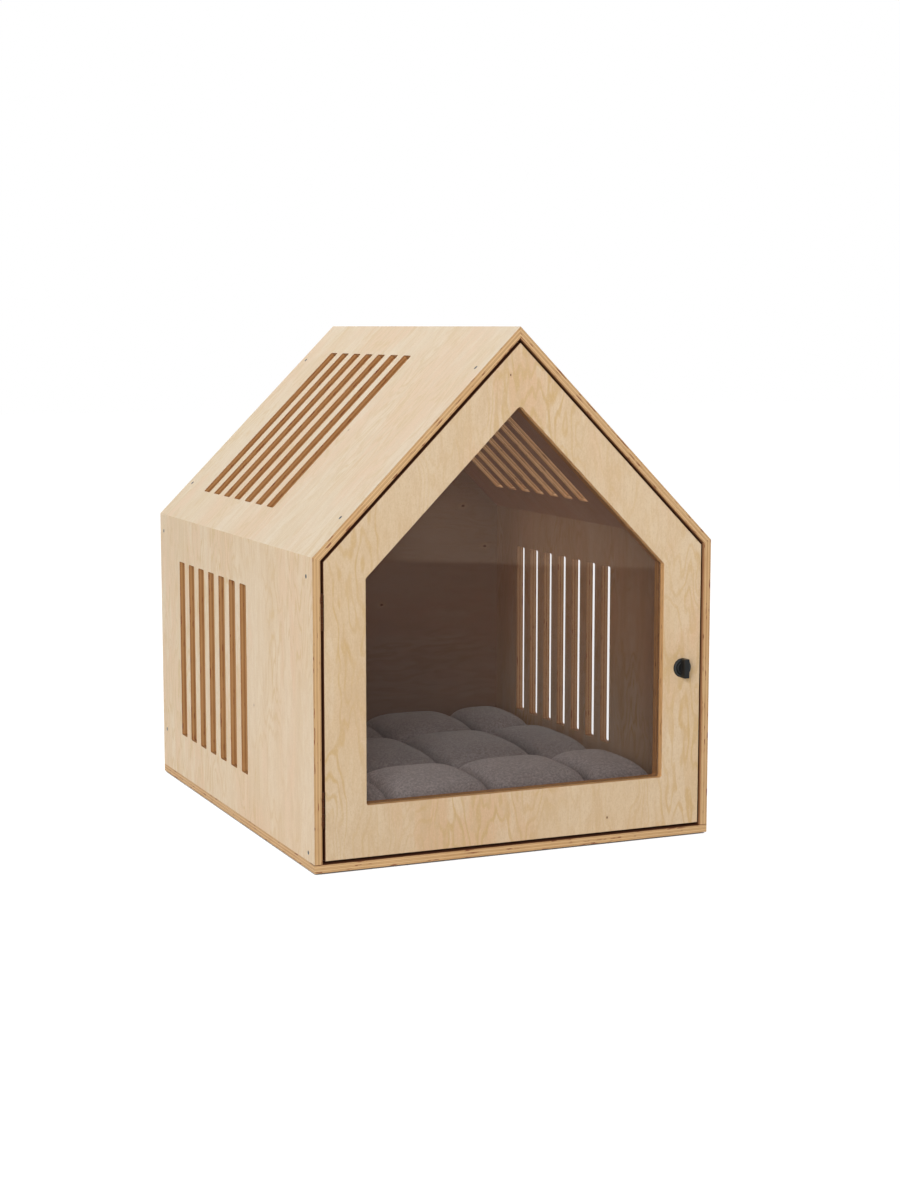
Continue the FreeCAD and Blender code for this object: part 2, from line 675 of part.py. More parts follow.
# Latch: a rosette and barrel through the door, a ring nut, and a turning knob, spindle and cam
LATCH_PLACE = ("dims.latch_offset", "dims.front_y", "dims.latch_height")
ROSETTE_THICKNESS = 3
BARREL_END = 17.5
SPINDLE_PLAY = 0.06
housing = new_body("latch_housing", *LATCH_PLACE)
rosette_radius = "dims.rosette_diameter / 2"
bore_radius = f"dims.spindle_diameter / 2 + {SPINDLE_PLAY}"
turned(housing, (
    (bore_radius, "-2.2"),
    ("10.2", "-2.2"),
    ("10.2", f"-{ROSETTE_THICKNESS}"),
    (f"{rosette_radius} - 1", f"-{ROSETTE_THICKNESS}"),
    (rosette_radius, f"-{ROSETTE_THICKNESS - 1}"),
    (rosette_radius, "0"),
    ("dims.barrel_diameter / 2", "0"),
    ("dims.barrel_diameter / 2", f"{BARREL_END}"),
    (bore_radius, f"{BARREL_END}"),
))
parts["latch_housing"] = housing
nut = new_body("latch_nut", *LATCH_PLACE)
turned(nut, (
    ("dims.barrel_diameter / 2 + 0.05", f"dims.door_thickness - {NUT_THICKNESS}"),
    (f"{NUT_DIAMETER} / 2", f"dims.door_thickness - {NUT_THICKNESS}"),
    (f"{NUT_DIAMETER} / 2", "dims.door_thickness - 0.4"),
    (f"{NUT_DIAMETER} / 2 - 0.4", "dims.door_thickness"),
    ("dims.barrel_diameter / 2 + 0.05", "dims.door_thickness"),
))
notches = new_sketch(nut, "notches", "XZ_Plane", "-dims.door_thickness")
for side in (-1, 1):
    near, far = sorted((f"{side} * 9.5", f"{side} * 12"), key=value)
    add_polygon(notches, box_corners(near, "-1.2", far, "1.2"))
pocket(nut, notches, "1.5", flip=True)
parts["latch_nut"] = nut

knob = new_body("latch_knob", *LATCH_PLACE)
KNOB_BACK = "2.5"
KNOB_FACE = "4.6"
SOCKET_END = "12"
turned(knob, (
    ("0", f"-{KNOB_FACE}"),
    ("9", f"-{KNOB_FACE}"),
    ("9.6", f"-{KNOB_FACE} + 0.6"),
    ("9.6", f"-{KNOB_BACK}"),
    ("0", f"-{KNOB_BACK}"),
))
bar = new_sketch(knob, "bar", "XZ_Plane", KNOB_FACE + " - 0.5")
add_polygon(bar, box_corners("-4", "-dims.rosette_diameter / 2 + 0.2", "4", "dims.rosette_diameter / 2 - 0.2"))
pad(knob, bar, f"dims.knob_reach - {KNOB_FACE} + 0.5")
bar_edges = []
for index, edge in enumerate(knob.Shape.Edges, start=1):
    depths = [knob.Placement.inverse().multVec(vertex.Point).y for vertex in edge.Vertexes]
    if all(abs(depth + value("dims.knob_reach")) < 0.001 for depth in depths):
        bar_edges.append(f"Edge{index}")
bar_pad = knob.Tip
bar_rounding = knob.newObject("PartDesign::Fillet", "bar_rounding")
bar_rounding.Base = (bar_pad, bar_edges)
bar_rounding.Radius = 0.8
doc.recompute()
socket = new_sketch(knob, "socket", "XZ_Plane", KNOB_BACK)
add_circle(socket, "0", "0", "dims.spindle_diameter + 0.06")
pocket(knob, socket, f"{SOCKET_END} - {KNOB_BACK}", flip=True)
parts["latch_knob"] = knob

STRIKE_THICKNESS = "2"
CAM_FRONT = "(dims.stop_setback + dims.ply + 2.5)"
CAM_THICKNESS = "2.5"
CAM_SQUARE = "4.6"
spindle = new_body("latch_spindle", *LATCH_PLACE)
spindle_radius = "dims.spindle_diameter / 2"
turned(spindle, (
    ("0", f"-{SOCKET_END} + 0.1"),
    (spindle_radius, f"-{SOCKET_END} + 0.1"),
    (spindle_radius, "17.8"),
    ("5.5", "17.8"),
    ("5.5", "19.2"),
    (spindle_radius, "19.2"),
    (spindle_radius, CAM_FRONT),
    ("0", CAM_FRONT),
))
tenon = new_sketch(spindle, "tenon", "XZ_Plane", f"-{CAM_FRONT}")
half_square = f"{CAM_SQUARE} / 2"
add_polygon(tenon, box_corners(f"-{half_square}", f"-{half_square}", half_square, half_square))
pad(spindle, tenon, CAM_THICKNESS, flip=True)
cam_thread = new_sketch(spindle, "cam_thread", "XZ_Plane", f"-({CAM_FRONT} + {CAM_THICKNESS})")
add_circle(cam_thread, "0", "0", "3.1")
pocket(spindle, cam_thread, "9", flip=True)
parts["latch_spindle"] = spindle

cam = new_body("latch_cam", "dims.latch_offset", f"dims.front_y + {CAM_FRONT}", "dims.latch_height")
cam_outline = new_sketch(cam, "outline", "XZ_Plane")
add_polygon(cam_outline, box_corners(
    "-dims.cam_width / 2", "-dims.cam_length / 2", "dims.cam_width / 2", "dims.cam_length / 2",
))
half_hole = f"({CAM_SQUARE} / 2 + 0.05)"
add_polygon(cam_outline, box_corners(f"-{half_hole}", f"-{half_hole}", half_hole, half_hole))
pad(cam, cam_outline, CAM_THICKNESS, flip=True)
round_corners(cam, box_corners(
    "-dims.cam_width / 2", "-dims.cam_length / 2", "dims.cam_width / 2", "dims.cam_length / 2",
), "2")
parts["latch_cam"] = cam

cam_screw = new_body("cam_screw", "dims.latch_offset", f"dims.front_y + {CAM_FRONT}", "dims.latch_height")
turned(cam_screw, (
    ("0", "-6"),
    ("1.5", "-6"),
    ("1.5", CAM_THICKNESS),
    ("3.5", CAM_THICKNESS),
    ("3.5", f"{CAM_THICKNESS} + 1.5"),
    ("3", f"{CAM_THICKNESS} + 2"),
    ("0", f"{CAM_THICKNESS} + 2"),
))
drive = new_sketch(cam_screw, "drive", "XZ_Plane", f"-({CAM_THICKNESS} + 2)")
add_polygon(drive, box_corners("-2.6", "-0.4", "2.6", "0.4"))
pocket(cam_screw, drive, "1", flip=True)
parts["cam_screw"] = cam_screw

# Strike plate behind the stop frame and the small bumpers in front of it
strike = new_body("strike_plate", "dims.latch_offset", "dims.strike_y", "dims.latch_height")
strike_outline = new_sketch(strike, "outline", "XZ_Plane")
add_polygon(strike_outline, box_corners("-20", "-35", "20", "35"))
half_slot = ("dims.cam_slot_width / 2", "dims.cam_slot_height / 2")
add_polygon(strike_outline, box_corners(f"-{half_slot[0]}", f"-{half_slot[1]}", *half_slot))
pad(strike, strike_outline, STRIKE_THICKNESS, flip=True)
round_corners(strike, box_corners("-20", "-35", "20", "35"), "3")
strike_holes = new_sketch(strike, "screw_holes", "XZ_Plane", f"-{STRIKE_THICKNESS}")
for sign in ("-", "+"):
    add_circle(strike_holes, "0", f"{sign}{STRIKE_SCREW_REACH}", PILOT)
countersunk_holes(strike, strike_holes, PILOT, "dims.screw_head + 2 * dims.screw_play", flip=True)
parts["strike_plate"] = strike

buffers = []
for x, z in (("284", "60"), ("284", "400"), ("0", "688")):
    dot = doc.addObject("Part::Cylinder", "door_buffer")
    dot.Radius = 4
    dot.Height = 1.5
    place(dot, x, "dims.front_y + dims.stop_setback", z, FreeCAD.Rotation(Vector(0, 0, 1), Vector(0, -1, 0)))
    buffers.append(dot)
compound("door_buffers", buffers)

# Quilted mattress: cross-sections at right angles to X, five arcs and a straight base each, lofted column by column
MATTRESS_HALF_WIDTH = 290
MATTRESS_ROWS = (104, 302, 532, 722)
MATTRESS_SEAMS = (-162, 0, 162)
BASE_HEIGHT = 14
MIDDLE_HEIGHT = 40
SEAM_VALLEY = 74
SEAM_CREST = 83
PAD_VALLEY = 80
PAD_CREST = 96
RIM_HEIGHT = 64


def mattress_section(x, lift, fullness, base_fullness):
    """One closed outline at x. lift goes from 0 in a seam to 1 on a crest, fullness from 0 at the side to 1."""
    def height(low, high):
        full = low + (high - low) * lift
        return MIDDLE_HEIGHT + (full - MIDDLE_HEIGHT) * fullness

    base = MIDDLE_HEIGHT + (BASE_HEIGHT - MIDDLE_HEIGHT) * base_fullness
    draw = 10 * (1 - fullness)
    front, seam_one, seam_two, rear = MATTRESS_ROWS
    front = front + draw
    rear = rear - draw
    valley = height(SEAM_VALLEY, PAD_VALLEY)
    crest = height(SEAM_CREST, PAD_CREST)
    rim = height(RIM_HEIGHT - 3, RIM_HEIGHT)
    belly = (base + rim) / 2
    points = [
        (front + 14, base), (rear - 14, base),
        (rear, belly), (rear - 12, rim),
        ((seam_two + rear) / 2 + 6, crest), (seam_two, valley),
        ((seam_one + seam_two) / 2, crest), (seam_one, valley),
        ((front + seam_one) / 2 - 6, crest), (front + 12, rim),
        (front, belly), (front + 14, base),
    ]
    flat = [Vector(y, z, 0) for y, z in points]
    sketch = doc.addObject("Sketcher::SketchObject", "mattress_section")
    sketch.addGeometry(Part.LineSegment(flat[0], flat[1]))
    for start in (1, 3, 5, 7, 9):
        sketch.addGeometry(Part.Arc(flat[start], flat[start + 1], flat[start + 2]))
    upright = FreeCAD.Rotation(Vector(0, 1, 0), Vector(0, 0, 1), Vector(1, 0, 0), "ZXY")
    place(sketch, f"{x}", "dims.front_y", "0", upright)
    return sketch


def side_fullness(distance, radius):
    if distance >= radius:
        return 1
    return max(0.3, math.sqrt(1 - (1 - distance / radius) ** 2))


def column_stations(low, high):
    """Where the sections of one column stand, closer together near a seam or a side."""
    width = high - low
    near = (0, 0.05, 0.13, 0.25, 0.5)
    inner = sorted({low + width * share for share in near} | {high - width * share for share in near})
    outer = (0, 1.5, 5, 11, 20, 32, 45)
    if low == -MATTRESS_HALF_WIDTH:
        return [low + step for step in outer] + [station for station in inner if station > low + 45]
    if high == MATTRESS_HALF_WIDTH:
        return [station for station in inner if station < high - 45] + [high - step for step in reversed(outer)]
    return inner


edges_x = (-MATTRESS_HALF_WIDTH,) + MATTRESS_SEAMS + (MATTRESS_HALF_WIDTH,)
columns = []
for low, high in zip(edges_x, edges_x[1:]):
    sections = []
    for x in column_stations(low, high):
        share = (x - low) / (high - low)
        if low == -MATTRESS_HALF_WIDTH and share < 0.5:
            lift = 1
        elif high == MATTRESS_HALF_WIDTH and share > 0.5:
            lift = 1
        else:
            lift = 1 - abs(2 * share - 1) ** 3
        distance = MATTRESS_HALF_WIDTH - abs(x)
        sections.append(mattress_section(x, lift, side_fullness(distance, 45), side_fullness(distance, 20)))
    column = doc.addObject("Part::Loft", "mattress_column")
    column.Sections = sections
    column.Solid = True
    column.Ruled = True
    columns.append(column)
mattress = doc.addObject("Part::MultiFuse", "cushion")
mattress.Label = "cushion"
mattress.Shapes = columns
parts["cushion"] = mattress

# Checks and export
doc.recompute()
for item in doc.Objects:
    faults = [state for state in item.State if state in ("Invalid", "Error")]
    if faults:
        raise RuntimeError(f"{item.Name} ({item.Label}) is {faults}")
for label, item in parts.items():
    shape = item.Shape
    if shape.isNull() or not shape.isValid() or not shape.Solids:
        raise RuntimeError(f"{label} has no valid solid")
    if not all(solid.isClosed() for solid in shape.Solids):
        raise RuntimeError(f"{label} is not closed")
    shape.exportStep(f"parts/{label}.step")
    box = shape.BoundBox
    print(
        f"{label}: {len(shape.Solids)} solid(s), volume {shape.Volume:.0f},",
        f"x {box.XMin:.2f} {box.XMax:.2f}, y {box.YMin:.2f} {box.YMax:.2f}, z {box.ZMin:.2f} {box.ZMax:.2f}",
    )
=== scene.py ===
"""Looks of the wooden dog house: birch plywood, a smoked window, a quilted mattress and the door
fittings."""

import math
from types import SimpleNamespace

import bpy
from mathutils import Matrix, Vector


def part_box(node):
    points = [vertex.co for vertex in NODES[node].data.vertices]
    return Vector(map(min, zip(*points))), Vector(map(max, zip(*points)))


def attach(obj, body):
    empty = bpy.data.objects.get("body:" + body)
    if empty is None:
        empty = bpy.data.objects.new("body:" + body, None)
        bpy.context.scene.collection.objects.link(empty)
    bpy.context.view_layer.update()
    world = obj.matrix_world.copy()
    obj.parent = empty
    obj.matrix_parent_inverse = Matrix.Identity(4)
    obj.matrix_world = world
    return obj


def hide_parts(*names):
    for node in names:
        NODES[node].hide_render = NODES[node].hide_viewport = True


bl_info = {
    "name": "Wooden Dog House",
    "version": (1, 0, 0),
    "blender": (4, 5, 0),
    "location": "3D View > Sidebar > Dog House",
    "description": "Dresses the dog house parts in plywood, smoked acrylic, fabric and metal",
    "category": "Object",
}

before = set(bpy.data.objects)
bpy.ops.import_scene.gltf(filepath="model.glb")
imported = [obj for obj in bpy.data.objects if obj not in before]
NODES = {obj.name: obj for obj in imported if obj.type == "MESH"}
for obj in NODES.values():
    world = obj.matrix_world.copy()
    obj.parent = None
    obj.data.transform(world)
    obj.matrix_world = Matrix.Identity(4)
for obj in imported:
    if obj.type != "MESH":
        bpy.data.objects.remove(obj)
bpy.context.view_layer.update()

# The house, in metres, with X to the right, Y to the back and Z up: its front, half its width,
# the height of its eaves, the thickness of its panels and of its door, how far behind the front
# the window lies, and the sine of the roof's 45 degrees.
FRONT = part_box("door_frame")[0].y
HALF_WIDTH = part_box("right_wall_panel")[1].x
EAVE = 0.44
PLY = 0.012
DOOR = 0.018
PANE_INSET = 0.012
SLOPE = math.sqrt(0.5)

# The mattress: the height of the block that it starts from, its seams, its gap to the floor, how
# much further to the right it reaches than the plain cushion, the room left above it, and the
# last frame of its simulation.
BLOCK = 0.066
SEAMS_X = (-0.1415, 0.021, 0.1835)
SEAMS_Y = (FRONT + 0.302, FRONT + 0.532)
LIFT = 0.0005
OVERHANG = 0.004
CROWN_ROOM = 0.0085
LAST_FRAME = 20

# Where the camera stands, white, and the tone that changes nothing.
EYE = (-1.2714, -3.05324, 0.75108)
WHITE = (1.0, 1.0, 1.0, 1.0)
PLAIN = (1, 1, 1)


# -------- shader building


class Wire:
    """The output socket of a node. Arithmetic on it adds Math nodes."""

    def __init__(self, finish, socket):
        self.finish = finish
        self.socket = socket

    def __add__(self, other):
        return self.finish.maths("ADD", self, other)

    def __radd__(self, other):
        return self.finish.maths("ADD", other, self)

    def __sub__(self, other):
        return self.finish.maths("SUBTRACT", self, other)

    def __rsub__(self, other):
        return self.finish.maths("SUBTRACT", other, self)

    def __mul__(self, other):
        return self.finish.maths("MULTIPLY", self, other)

    def __rmul__(self, other):
        return self.finish.maths("MULTIPLY", other, self)

    def __truediv__(self, other):
        return self.finish.maths("DIVIDE", self, other)

    def __rtruediv__(self, other):
        return self.finish.maths("DIVIDE", other, self)

    def __abs__(self):
        return self.finish.maths("ABSOLUTE", self)

    def smooth(self, low, high, to_low=0.0, to_high=1.0):
        """Rises softly from one level to another between two thresholds of this value."""
        sockets = ("Value", "From Min", "From Max", "To Min", "To Max")
        inputs = dict(zip(sockets, (self, low, high, to_low, to_high)))
        settings = {"interpolation_type": "SMOOTHSTEP"}
        return self.finish.wire(self.finish.node("ShaderNodeMapRange", settings, inputs))


class Finish:
    """A node tree under construction, of a material or of the world."""

    def __init__(self, owner):
        self.owner = owner
        owner.use_nodes = True
        self.tree = owner.node_tree
        self.tree.nodes.clear()

    def node(self, kind, settings=None, inputs=None):
        """Adds a node: its settings first, then the values or links of its sockets."""
        node = self.tree.nodes.new(kind)
        for key, value in (settings or {}).items():
            setattr(node, key, value)
        for key, value in (inputs or {}).items():
            if isinstance(value, Wire):
                self.tree.links.new(value.socket, node.inputs[key])
            else:
                node.inputs[key].default_value = value
        return node

    def wire(self, node, output=0):
        return Wire(self, node.outputs[output])

    def result(self, kind, **inputs):
        """The first output of a new node. Inputs have their sockets' names, with _ for a space."""
        named = {key.replace("_", " "): value for key, value in inputs.items()}
        return self.wire(self.node(kind, None, named))

    def maths(self, operation, *terms):
        node = self.node("ShaderNodeMath", {"operation": operation}, dict(enumerate(terms)))
        return self.wire(node)

    def vector(self, operation, *terms, output=0):
        settings = {"operation": operation}
        node = self.node("ShaderNodeVectorMath", settings, dict(enumerate(terms)))
        return self.wire(node, output)

    def greatest(self, *values):
        """The greatest of some values."""
        most = values[0]
        for value in values[1:]:
            most = self.maths("MAXIMUM", most, value)
        return most

    def coordinate(self, kind):
        """Where a point lies on its object, or the direction in which its surface faces."""
        return self.wire(self.node("ShaderNodeTexCoord"), kind)

    def axes(self, place):
        """The three coordinates of a place."""
        parts = self.node("ShaderNodeSeparateXYZ", None, {"Vector": place})
        return [self.wire(parts, axis) for axis in "XYZ"]

    def noise(self, place, stretch, detail, roughness, shift=(0, 0, 0)):
        """Noise with its own number of cells a metre, or one for each axis of a place."""
        scale = stretch if isinstance(stretch, tuple) else (stretch,) * 3
        inputs = {"Vector": place, "Location": shift, "Scale": scale}
        mapped = self.wire(self.node("ShaderNodeMapping", {"vector_type": "POINT"}, inputs))
        return self.result(
            "ShaderNodeTexNoise", Vector=mapped, Scale=1.0, Detail=detail, Roughness=roughness
        )

    def mix(self, factor, first, second, blend="MIX"):
        """A colour between two others."""
        settings = {"data_type": "RGBA", "blend_type": blend}
        node = self.node("ShaderNodeMix", settings, {0: factor, 6: first, 7: second})
        return self.wire(node, 2)

    def tint(self, colour, tone, share=1.0):
        """A colour multiplied by a tone, in full or in part."""
        return self.mix(share, colour, tone if isinstance(tone, Wire) else rgb(tone), "MULTIPLY")

    def layered(self, colour, base, *layers):
        """A colour with layers over it, each with its share and its tone of the base colour."""
        for share, *tone in layers:
            colour = self.mix(share, colour, scaled(base, *tone))
        return colour

    def bump(self, height, distance, strength):
        return self.result("ShaderNodeBump", Height=height, Distance=distance, Strength=strength)

    def between(self, share, first, second):
        """A shader between two others."""
        return self.wire(self.node("ShaderNodeMixShader", None, {0: share, 1: first, 2: second}))

    def surface(self, shader):
        """Ends the tree in a shader, and gives the finished material or world."""
        kind = "World" if isinstance(self.owner, bpy.types.World) else "Material"
        self.node("ShaderNodeOutput" + kind, None, {"Surface": shader})
        return self.owner

    def principled(self, **inputs):
        """Ends the material in one Principled shader."""
        return self.surface(self.result("ShaderNodeBsdfPrincipled", **inputs))


def material(name):
    return Finish(bpy.data.materials.new(name))


def background_rays(finish):
    """1 for the rays that show the background: the camera's own, and mirrored and clear ones."""
    paths = finish.node("ShaderNodeLightPath")
    kinds = ("Is Camera Ray", "Is Glossy Ray", "Is Transmission Ray")
    return finish.greatest(*(finish.wire(paths, kind) for kind in kinds))


def rgb(colour):
    return (colour[0], colour[1], colour[2], 1.0)


def scaled(colour, red, green=None, blue=None):
    """A colour with its channels multiplied, all by the first number where it is the only one."""
    green = red if green is None else green
    blue = red if blue is None else blue
    return (colour[0] * red, colour[1] * green, colour[2] * blue, 1.0)


# -------- sizes and colours

COLOUR = dict(subtype="COLOR", size=3, min=0, max=1)


class DogHouseWood(bpy.types.PropertyGroup):
    face_colour: bpy.props.FloatVectorProperty(
        name="Face colour",
        description="Colour of the sanded birch veneer",
        default=(0.672, 0.518, 0.34), **COLOUR,
    )
    # painted shade: the faces inside the house take this darker colour in place of the shade inside
    # it
    inside_shade_colour: bpy.props.FloatVectorProperty(
        name="Inside colour",
        description="Colour of the veneer on the faces inside the house",
        default=(0.41, 0.262, 0.18), **COLOUR,
    )
    edge_colour: bpy.props.FloatVectorProperty(
        name="Edge colour",
        description="Colour of the sawn panel edges between the glue lines",
        default=(0.66, 0.435, 0.22), **COLOUR,
    )
    # painted shade: the edges around the door take this dark colour in place of the shade in the
    # gap
    gap_shade_colour: bpy.props.FloatVectorProperty(
        name="Door gap colour",
        description="Colour of the scorched edges around the door",
        default=(0.105, 0.033, 0.012), **COLOUR,
    )
    # the milled edges are darker partly by their own cut and partly by painted shade in the slots
    # and window
    cut_colour: bpy.props.FloatVectorProperty(
        name="Cut-out colour",
        description="Colour of the milled edges inside the slots and the window",
        default=(0.47, 0.235, 0.09), **COLOUR,
    )
    glue_colour: bpy.props.FloatVectorProperty(
        name="Glue line colour",
        description="Colour of the glue lines and of the dark patches in the inner plies",
        default=(0.2, 0.055, 0.022), **COLOUR,
    )
    figure: bpy.props.FloatProperty(
        name="Figure",
        description="How strongly the veneer's figure shows",
        subtype="FACTOR", min=0, max=2, default=1.0,
    )
    roughness: bpy.props.FloatProperty(
        name="Roughness",
        description="Roughness of the clear matt lacquer",
        subtype="FACTOR", min=0, max=1, default=0.46,
    )


class DogHousePane(bpy.types.PropertyGroup):
    tint: bpy.props.FloatVectorProperty(
        name="Tint",
        description="Light that one face of the smoked window lets through",
        default=(0.945, 0.94, 0.937), **COLOUR,
    )
    dust: bpy.props.FloatVectorProperty(
        name="Dust colour",
        description="Colour of the fine scatter on the window",
        default=(0.72, 0.6, 0.62), **COLOUR,
    )
    dustiness: bpy.props.FloatProperty(
        name="Dust",
        description="Share of the light that the window scatters on one face",
        subtype="FACTOR", min=0, max=0.2, default=0.012,
    )


class DogHouseMattress(bpy.types.PropertyGroup):
    fabric_colour: bpy.props.FloatVectorProperty(
        name="Fabric colour",
        description="Colour of the mattress cover",
        default=(0.5, 0.452, 0.44), **COLOUR,
    )
    voxel: bpy.props.FloatProperty(
        name="Mesh size",
        description="Size of the cover's mesh before its last subdivision",
        subtype="DISTANCE", min=0.004, max=0.012, default=0.0066,
    )
    pressure: bpy.props.FloatProperty(
        name="Filling pressure",
        description="How hard the filling pushes the cover outwards",
        min=0, max=20, default=5.0,
    )
    clearance: bpy.props.FloatProperty(
        name="Side clearance",
        description="Room left at each side for the cover to swell into",
        subtype="DISTANCE", min=0, max=0.02, default=0.005,
    )
    crown_height: bpy.props.FloatProperty(
        name="Crown height",
        description="Height of the middle of each quilted square before it is filled out",
        subtype="DISTANCE", min=0.05, max=0.1, default=0.092,
    )
    seam_height: bpy.props.FloatProperty(
        name="Seam height",
        description="Height of the seams between the quilted squares",
        subtype="DISTANCE", min=0.04, max=0.09, default=0.052,
    )
    seam_depth: bpy.props.FloatProperty(
        name="Seam depth",
        description="How deep the stitching sinks below the seam",
        subtype="DISTANCE", min=0, max=0.02, default=0.012,
    )
    tuck: bpy.props.FloatProperty(
        name="Side tuck",
        description="How far the seams pull the sides in",
        subtype="DISTANCE", min=0, max=0.02, default=0.005,
    )
    swell: bpy.props.FloatProperty(
        name="Largest swell",
        description="The furthest that the filling moves any point of the cover",
        subtype="DISTANCE", min=0, max=0.03, default=0.022,
    )


class DogHouseFittings(bpy.types.PropertyGroup):
    plastic_colour: bpy.props.FloatVectorProperty(
        name="Latch colour",
        description="Colour of the latch's moulded parts",
        default=(0.017, 0.018, 0.018), **COLOUR,
    )
    zinc_colour: bpy.props.FloatVectorProperty(
        name="Screw colour",
        description="Colour of the zinc plating",
        default=(0.12, 0.135, 0.155), **COLOUR,
    )
    bronze_colour: bpy.props.FloatVectorProperty(
        name="Hinge colour",
        description="Colour of the hinges' finish",
        default=(0.085, 0.03, 0.014), **COLOUR,
    )
    rubber_colour: bpy.props.FloatVectorProperty(
        name="Rubber colour",
        description="Colour of the floor pads and door buffers",
        default=(0.04, 0.035, 0.03), **COLOUR,
    )


class DogHouseStage(bpy.types.PropertyGroup):
    ambient: bpy.props.FloatProperty(
        name="Room light",
        description="Level of the soft light that comes from all sides",
        min=0, max=2, default=0.24,
    )
    front_energy: bpy.props.FloatProperty(
        name="Front lamp",
        description="Power of the large lamp low in front on the left, in watts",
        min=0, max=2000, default=520,
    )
    top_energy: bpy.props.FloatProperty(
        name="Top lamp",
        description="Power of the large lamp high behind the house, in watts",
        min=0, max=2000, default=85,
    )
    lens: bpy.props.FloatProperty(
        name="Lens",
        description="Focal length of the camera",
        subtype="DISTANCE_CAMERA", min=10, max=300, default=63.6,
    )


GROUPS = {
    "dog_house_wood": DogHouseWood,
    "dog_house_pane": DogHousePane,
    "dog_house_mattress": DogHouseMattress,
    "dog_house_fittings": DogHouseFittings,
    "dog_house_stage": DogHouseStage,
}


# -------- finishes

# The textures of birch: cells a metre along the grain, across it and into the panel, then the
# detail and the roughness of the noise.
BIRCH = {
    "blotch": ((3.0, 8.0, 20.0), 4.0, 0.6),
    "rosy": ((2.6, 6.0, 14.0), 3.0, 0.6),
    "flame": ((5.5, 26.0, 20.0), 5.0, 0.62),
    "swirl": ((4.2, 15.0, 12.0), 3.0, 0.5),
    "mottle": ((36.0, 75.0, 40.0), 3.0, 0.65),
    "streak": ((6.0, 120.0, 30.0), 4.0, 0.66),
    "fibre": ((26.0, 620.0, 90.0), 3.0, 0.65),
    "pore": ((210.0, 700.0, 120.0), 2.0, 0.6),
    "speck": ((420.0, 520.0, 300.0), 3.0, 0.7),
    "patch": ((52.0, 52.0, 420.0), 2.0, 0.45),
    "edge_streak": ((17.0, 17.0, 900.0), 3.0, 0.6),
    "edge_tone": ((14.0, 14.0, 14.0), 3.0, 0.6),
}


def veneer(finish, base, birch, figure, own_figure):
    """The face of a panel: rosy clouds, flames, golden growth lines, mottling, streaks, pores,
    fibres and specks. figure is how strongly they show, and own_figure the panel's share."""
    strength = figure * own_figure
    fine = min(own_figure, 1.0)
    wavering = birch.swirl + (birch.flame - 0.5) * 0.14
    lines = finish.greatest(
        *(abs(wavering - level).smooth(0.019, 0.003) for level in (0.4, 0.47, 0.535, 0.6))
    )
    marked = 0.26 + 0.74 * birch.blotch.smooth(0.4, 0.62)
    colour = finish.mix(
        birch.blotch.smooth(0.3, 0.7),
        scaled(base, 1.02, 1.04, 1.08),
        scaled(base, 0.98, 0.95, 0.9),
    )
    return finish.layered(
        colour,
        base,
        (birch.rosy.smooth(0.45, 0.6) * 0.85, 1.01, 0.89, 0.84),
        (birch.flame.smooth(0.5, 0.6) * 0.8 * strength, 1.04, 1.075, 1.14),
        (birch.flame.smooth(0.46, 0.36) * 0.7 * strength, 0.92, 0.86, 0.77),
        (lines * marked * strength, 0.88, 0.775, 0.56),
        (birch.mottle.smooth(0.42, 0.7) * 0.55, 0.93, 0.885, 0.84),
        (birch.streak.smooth(0.5, 0.75) * 0.3 * strength, 0.92, 0.86, 0.78),
        (birch.streak.smooth(0.48, 0.25) * 0.25 * strength, 1.06, 1.08, 1.11),
        (birch.pore.smooth(0.5, 0.75) * 0.4 * fine, 0.83, 0.76, 0.68),
        (birch.pore.smooth(0.46, 0.28) * 0.28 * fine, 1.12, 1.14, 1.18),
        (birch.fibre.smooth(0.54, 0.78) * 0.35 * fine, 0.8, 0.7, 0.58),
        (birch.speck.smooth(0.5, 0.64) * 0.45, 0.88, 0.83, 0.78),
        (birch.speck.smooth(0.46, 0.34) * 0.35, 1.07, 1.09, 1.12),
    )


def knot(finish, colour, base, place, middle_u, middle_v, size):
    """A small dark knot in the veneer, with a soft halo along the grain."""
    offset = finish.vector("SUBTRACT", place, (middle_u, middle_v, 0.0))
    offset = finish.vector("MULTIPLY", offset, (0.62 / size, 1.0 / size, 0.0))
    away = finish.vector("LENGTH", offset, output="Value")
    halo = (away.smooth(3.6, 0.8) * 0.3, 0.78, 0.62, 0.46)
    return finish.layered(colour, base, halo, (away.smooth(1.15, 0.55), 0.2, 0.1, 0.06))


def milled_area(finish, u, v, cut):
    """1 in the part of a panel whose edges are milled, and 0 outside it."""
    u0, u1, v0, v1 = cut
    half_u, half_v = (u1 - u0) / 2, (v1 - v0) / 2
    along = abs(u - (u0 + half_u)).smooth(half_u, half_u - 0.001)
    return along * abs(v - (v0 + half_v)).smooth(half_v, half_v - 0.001)


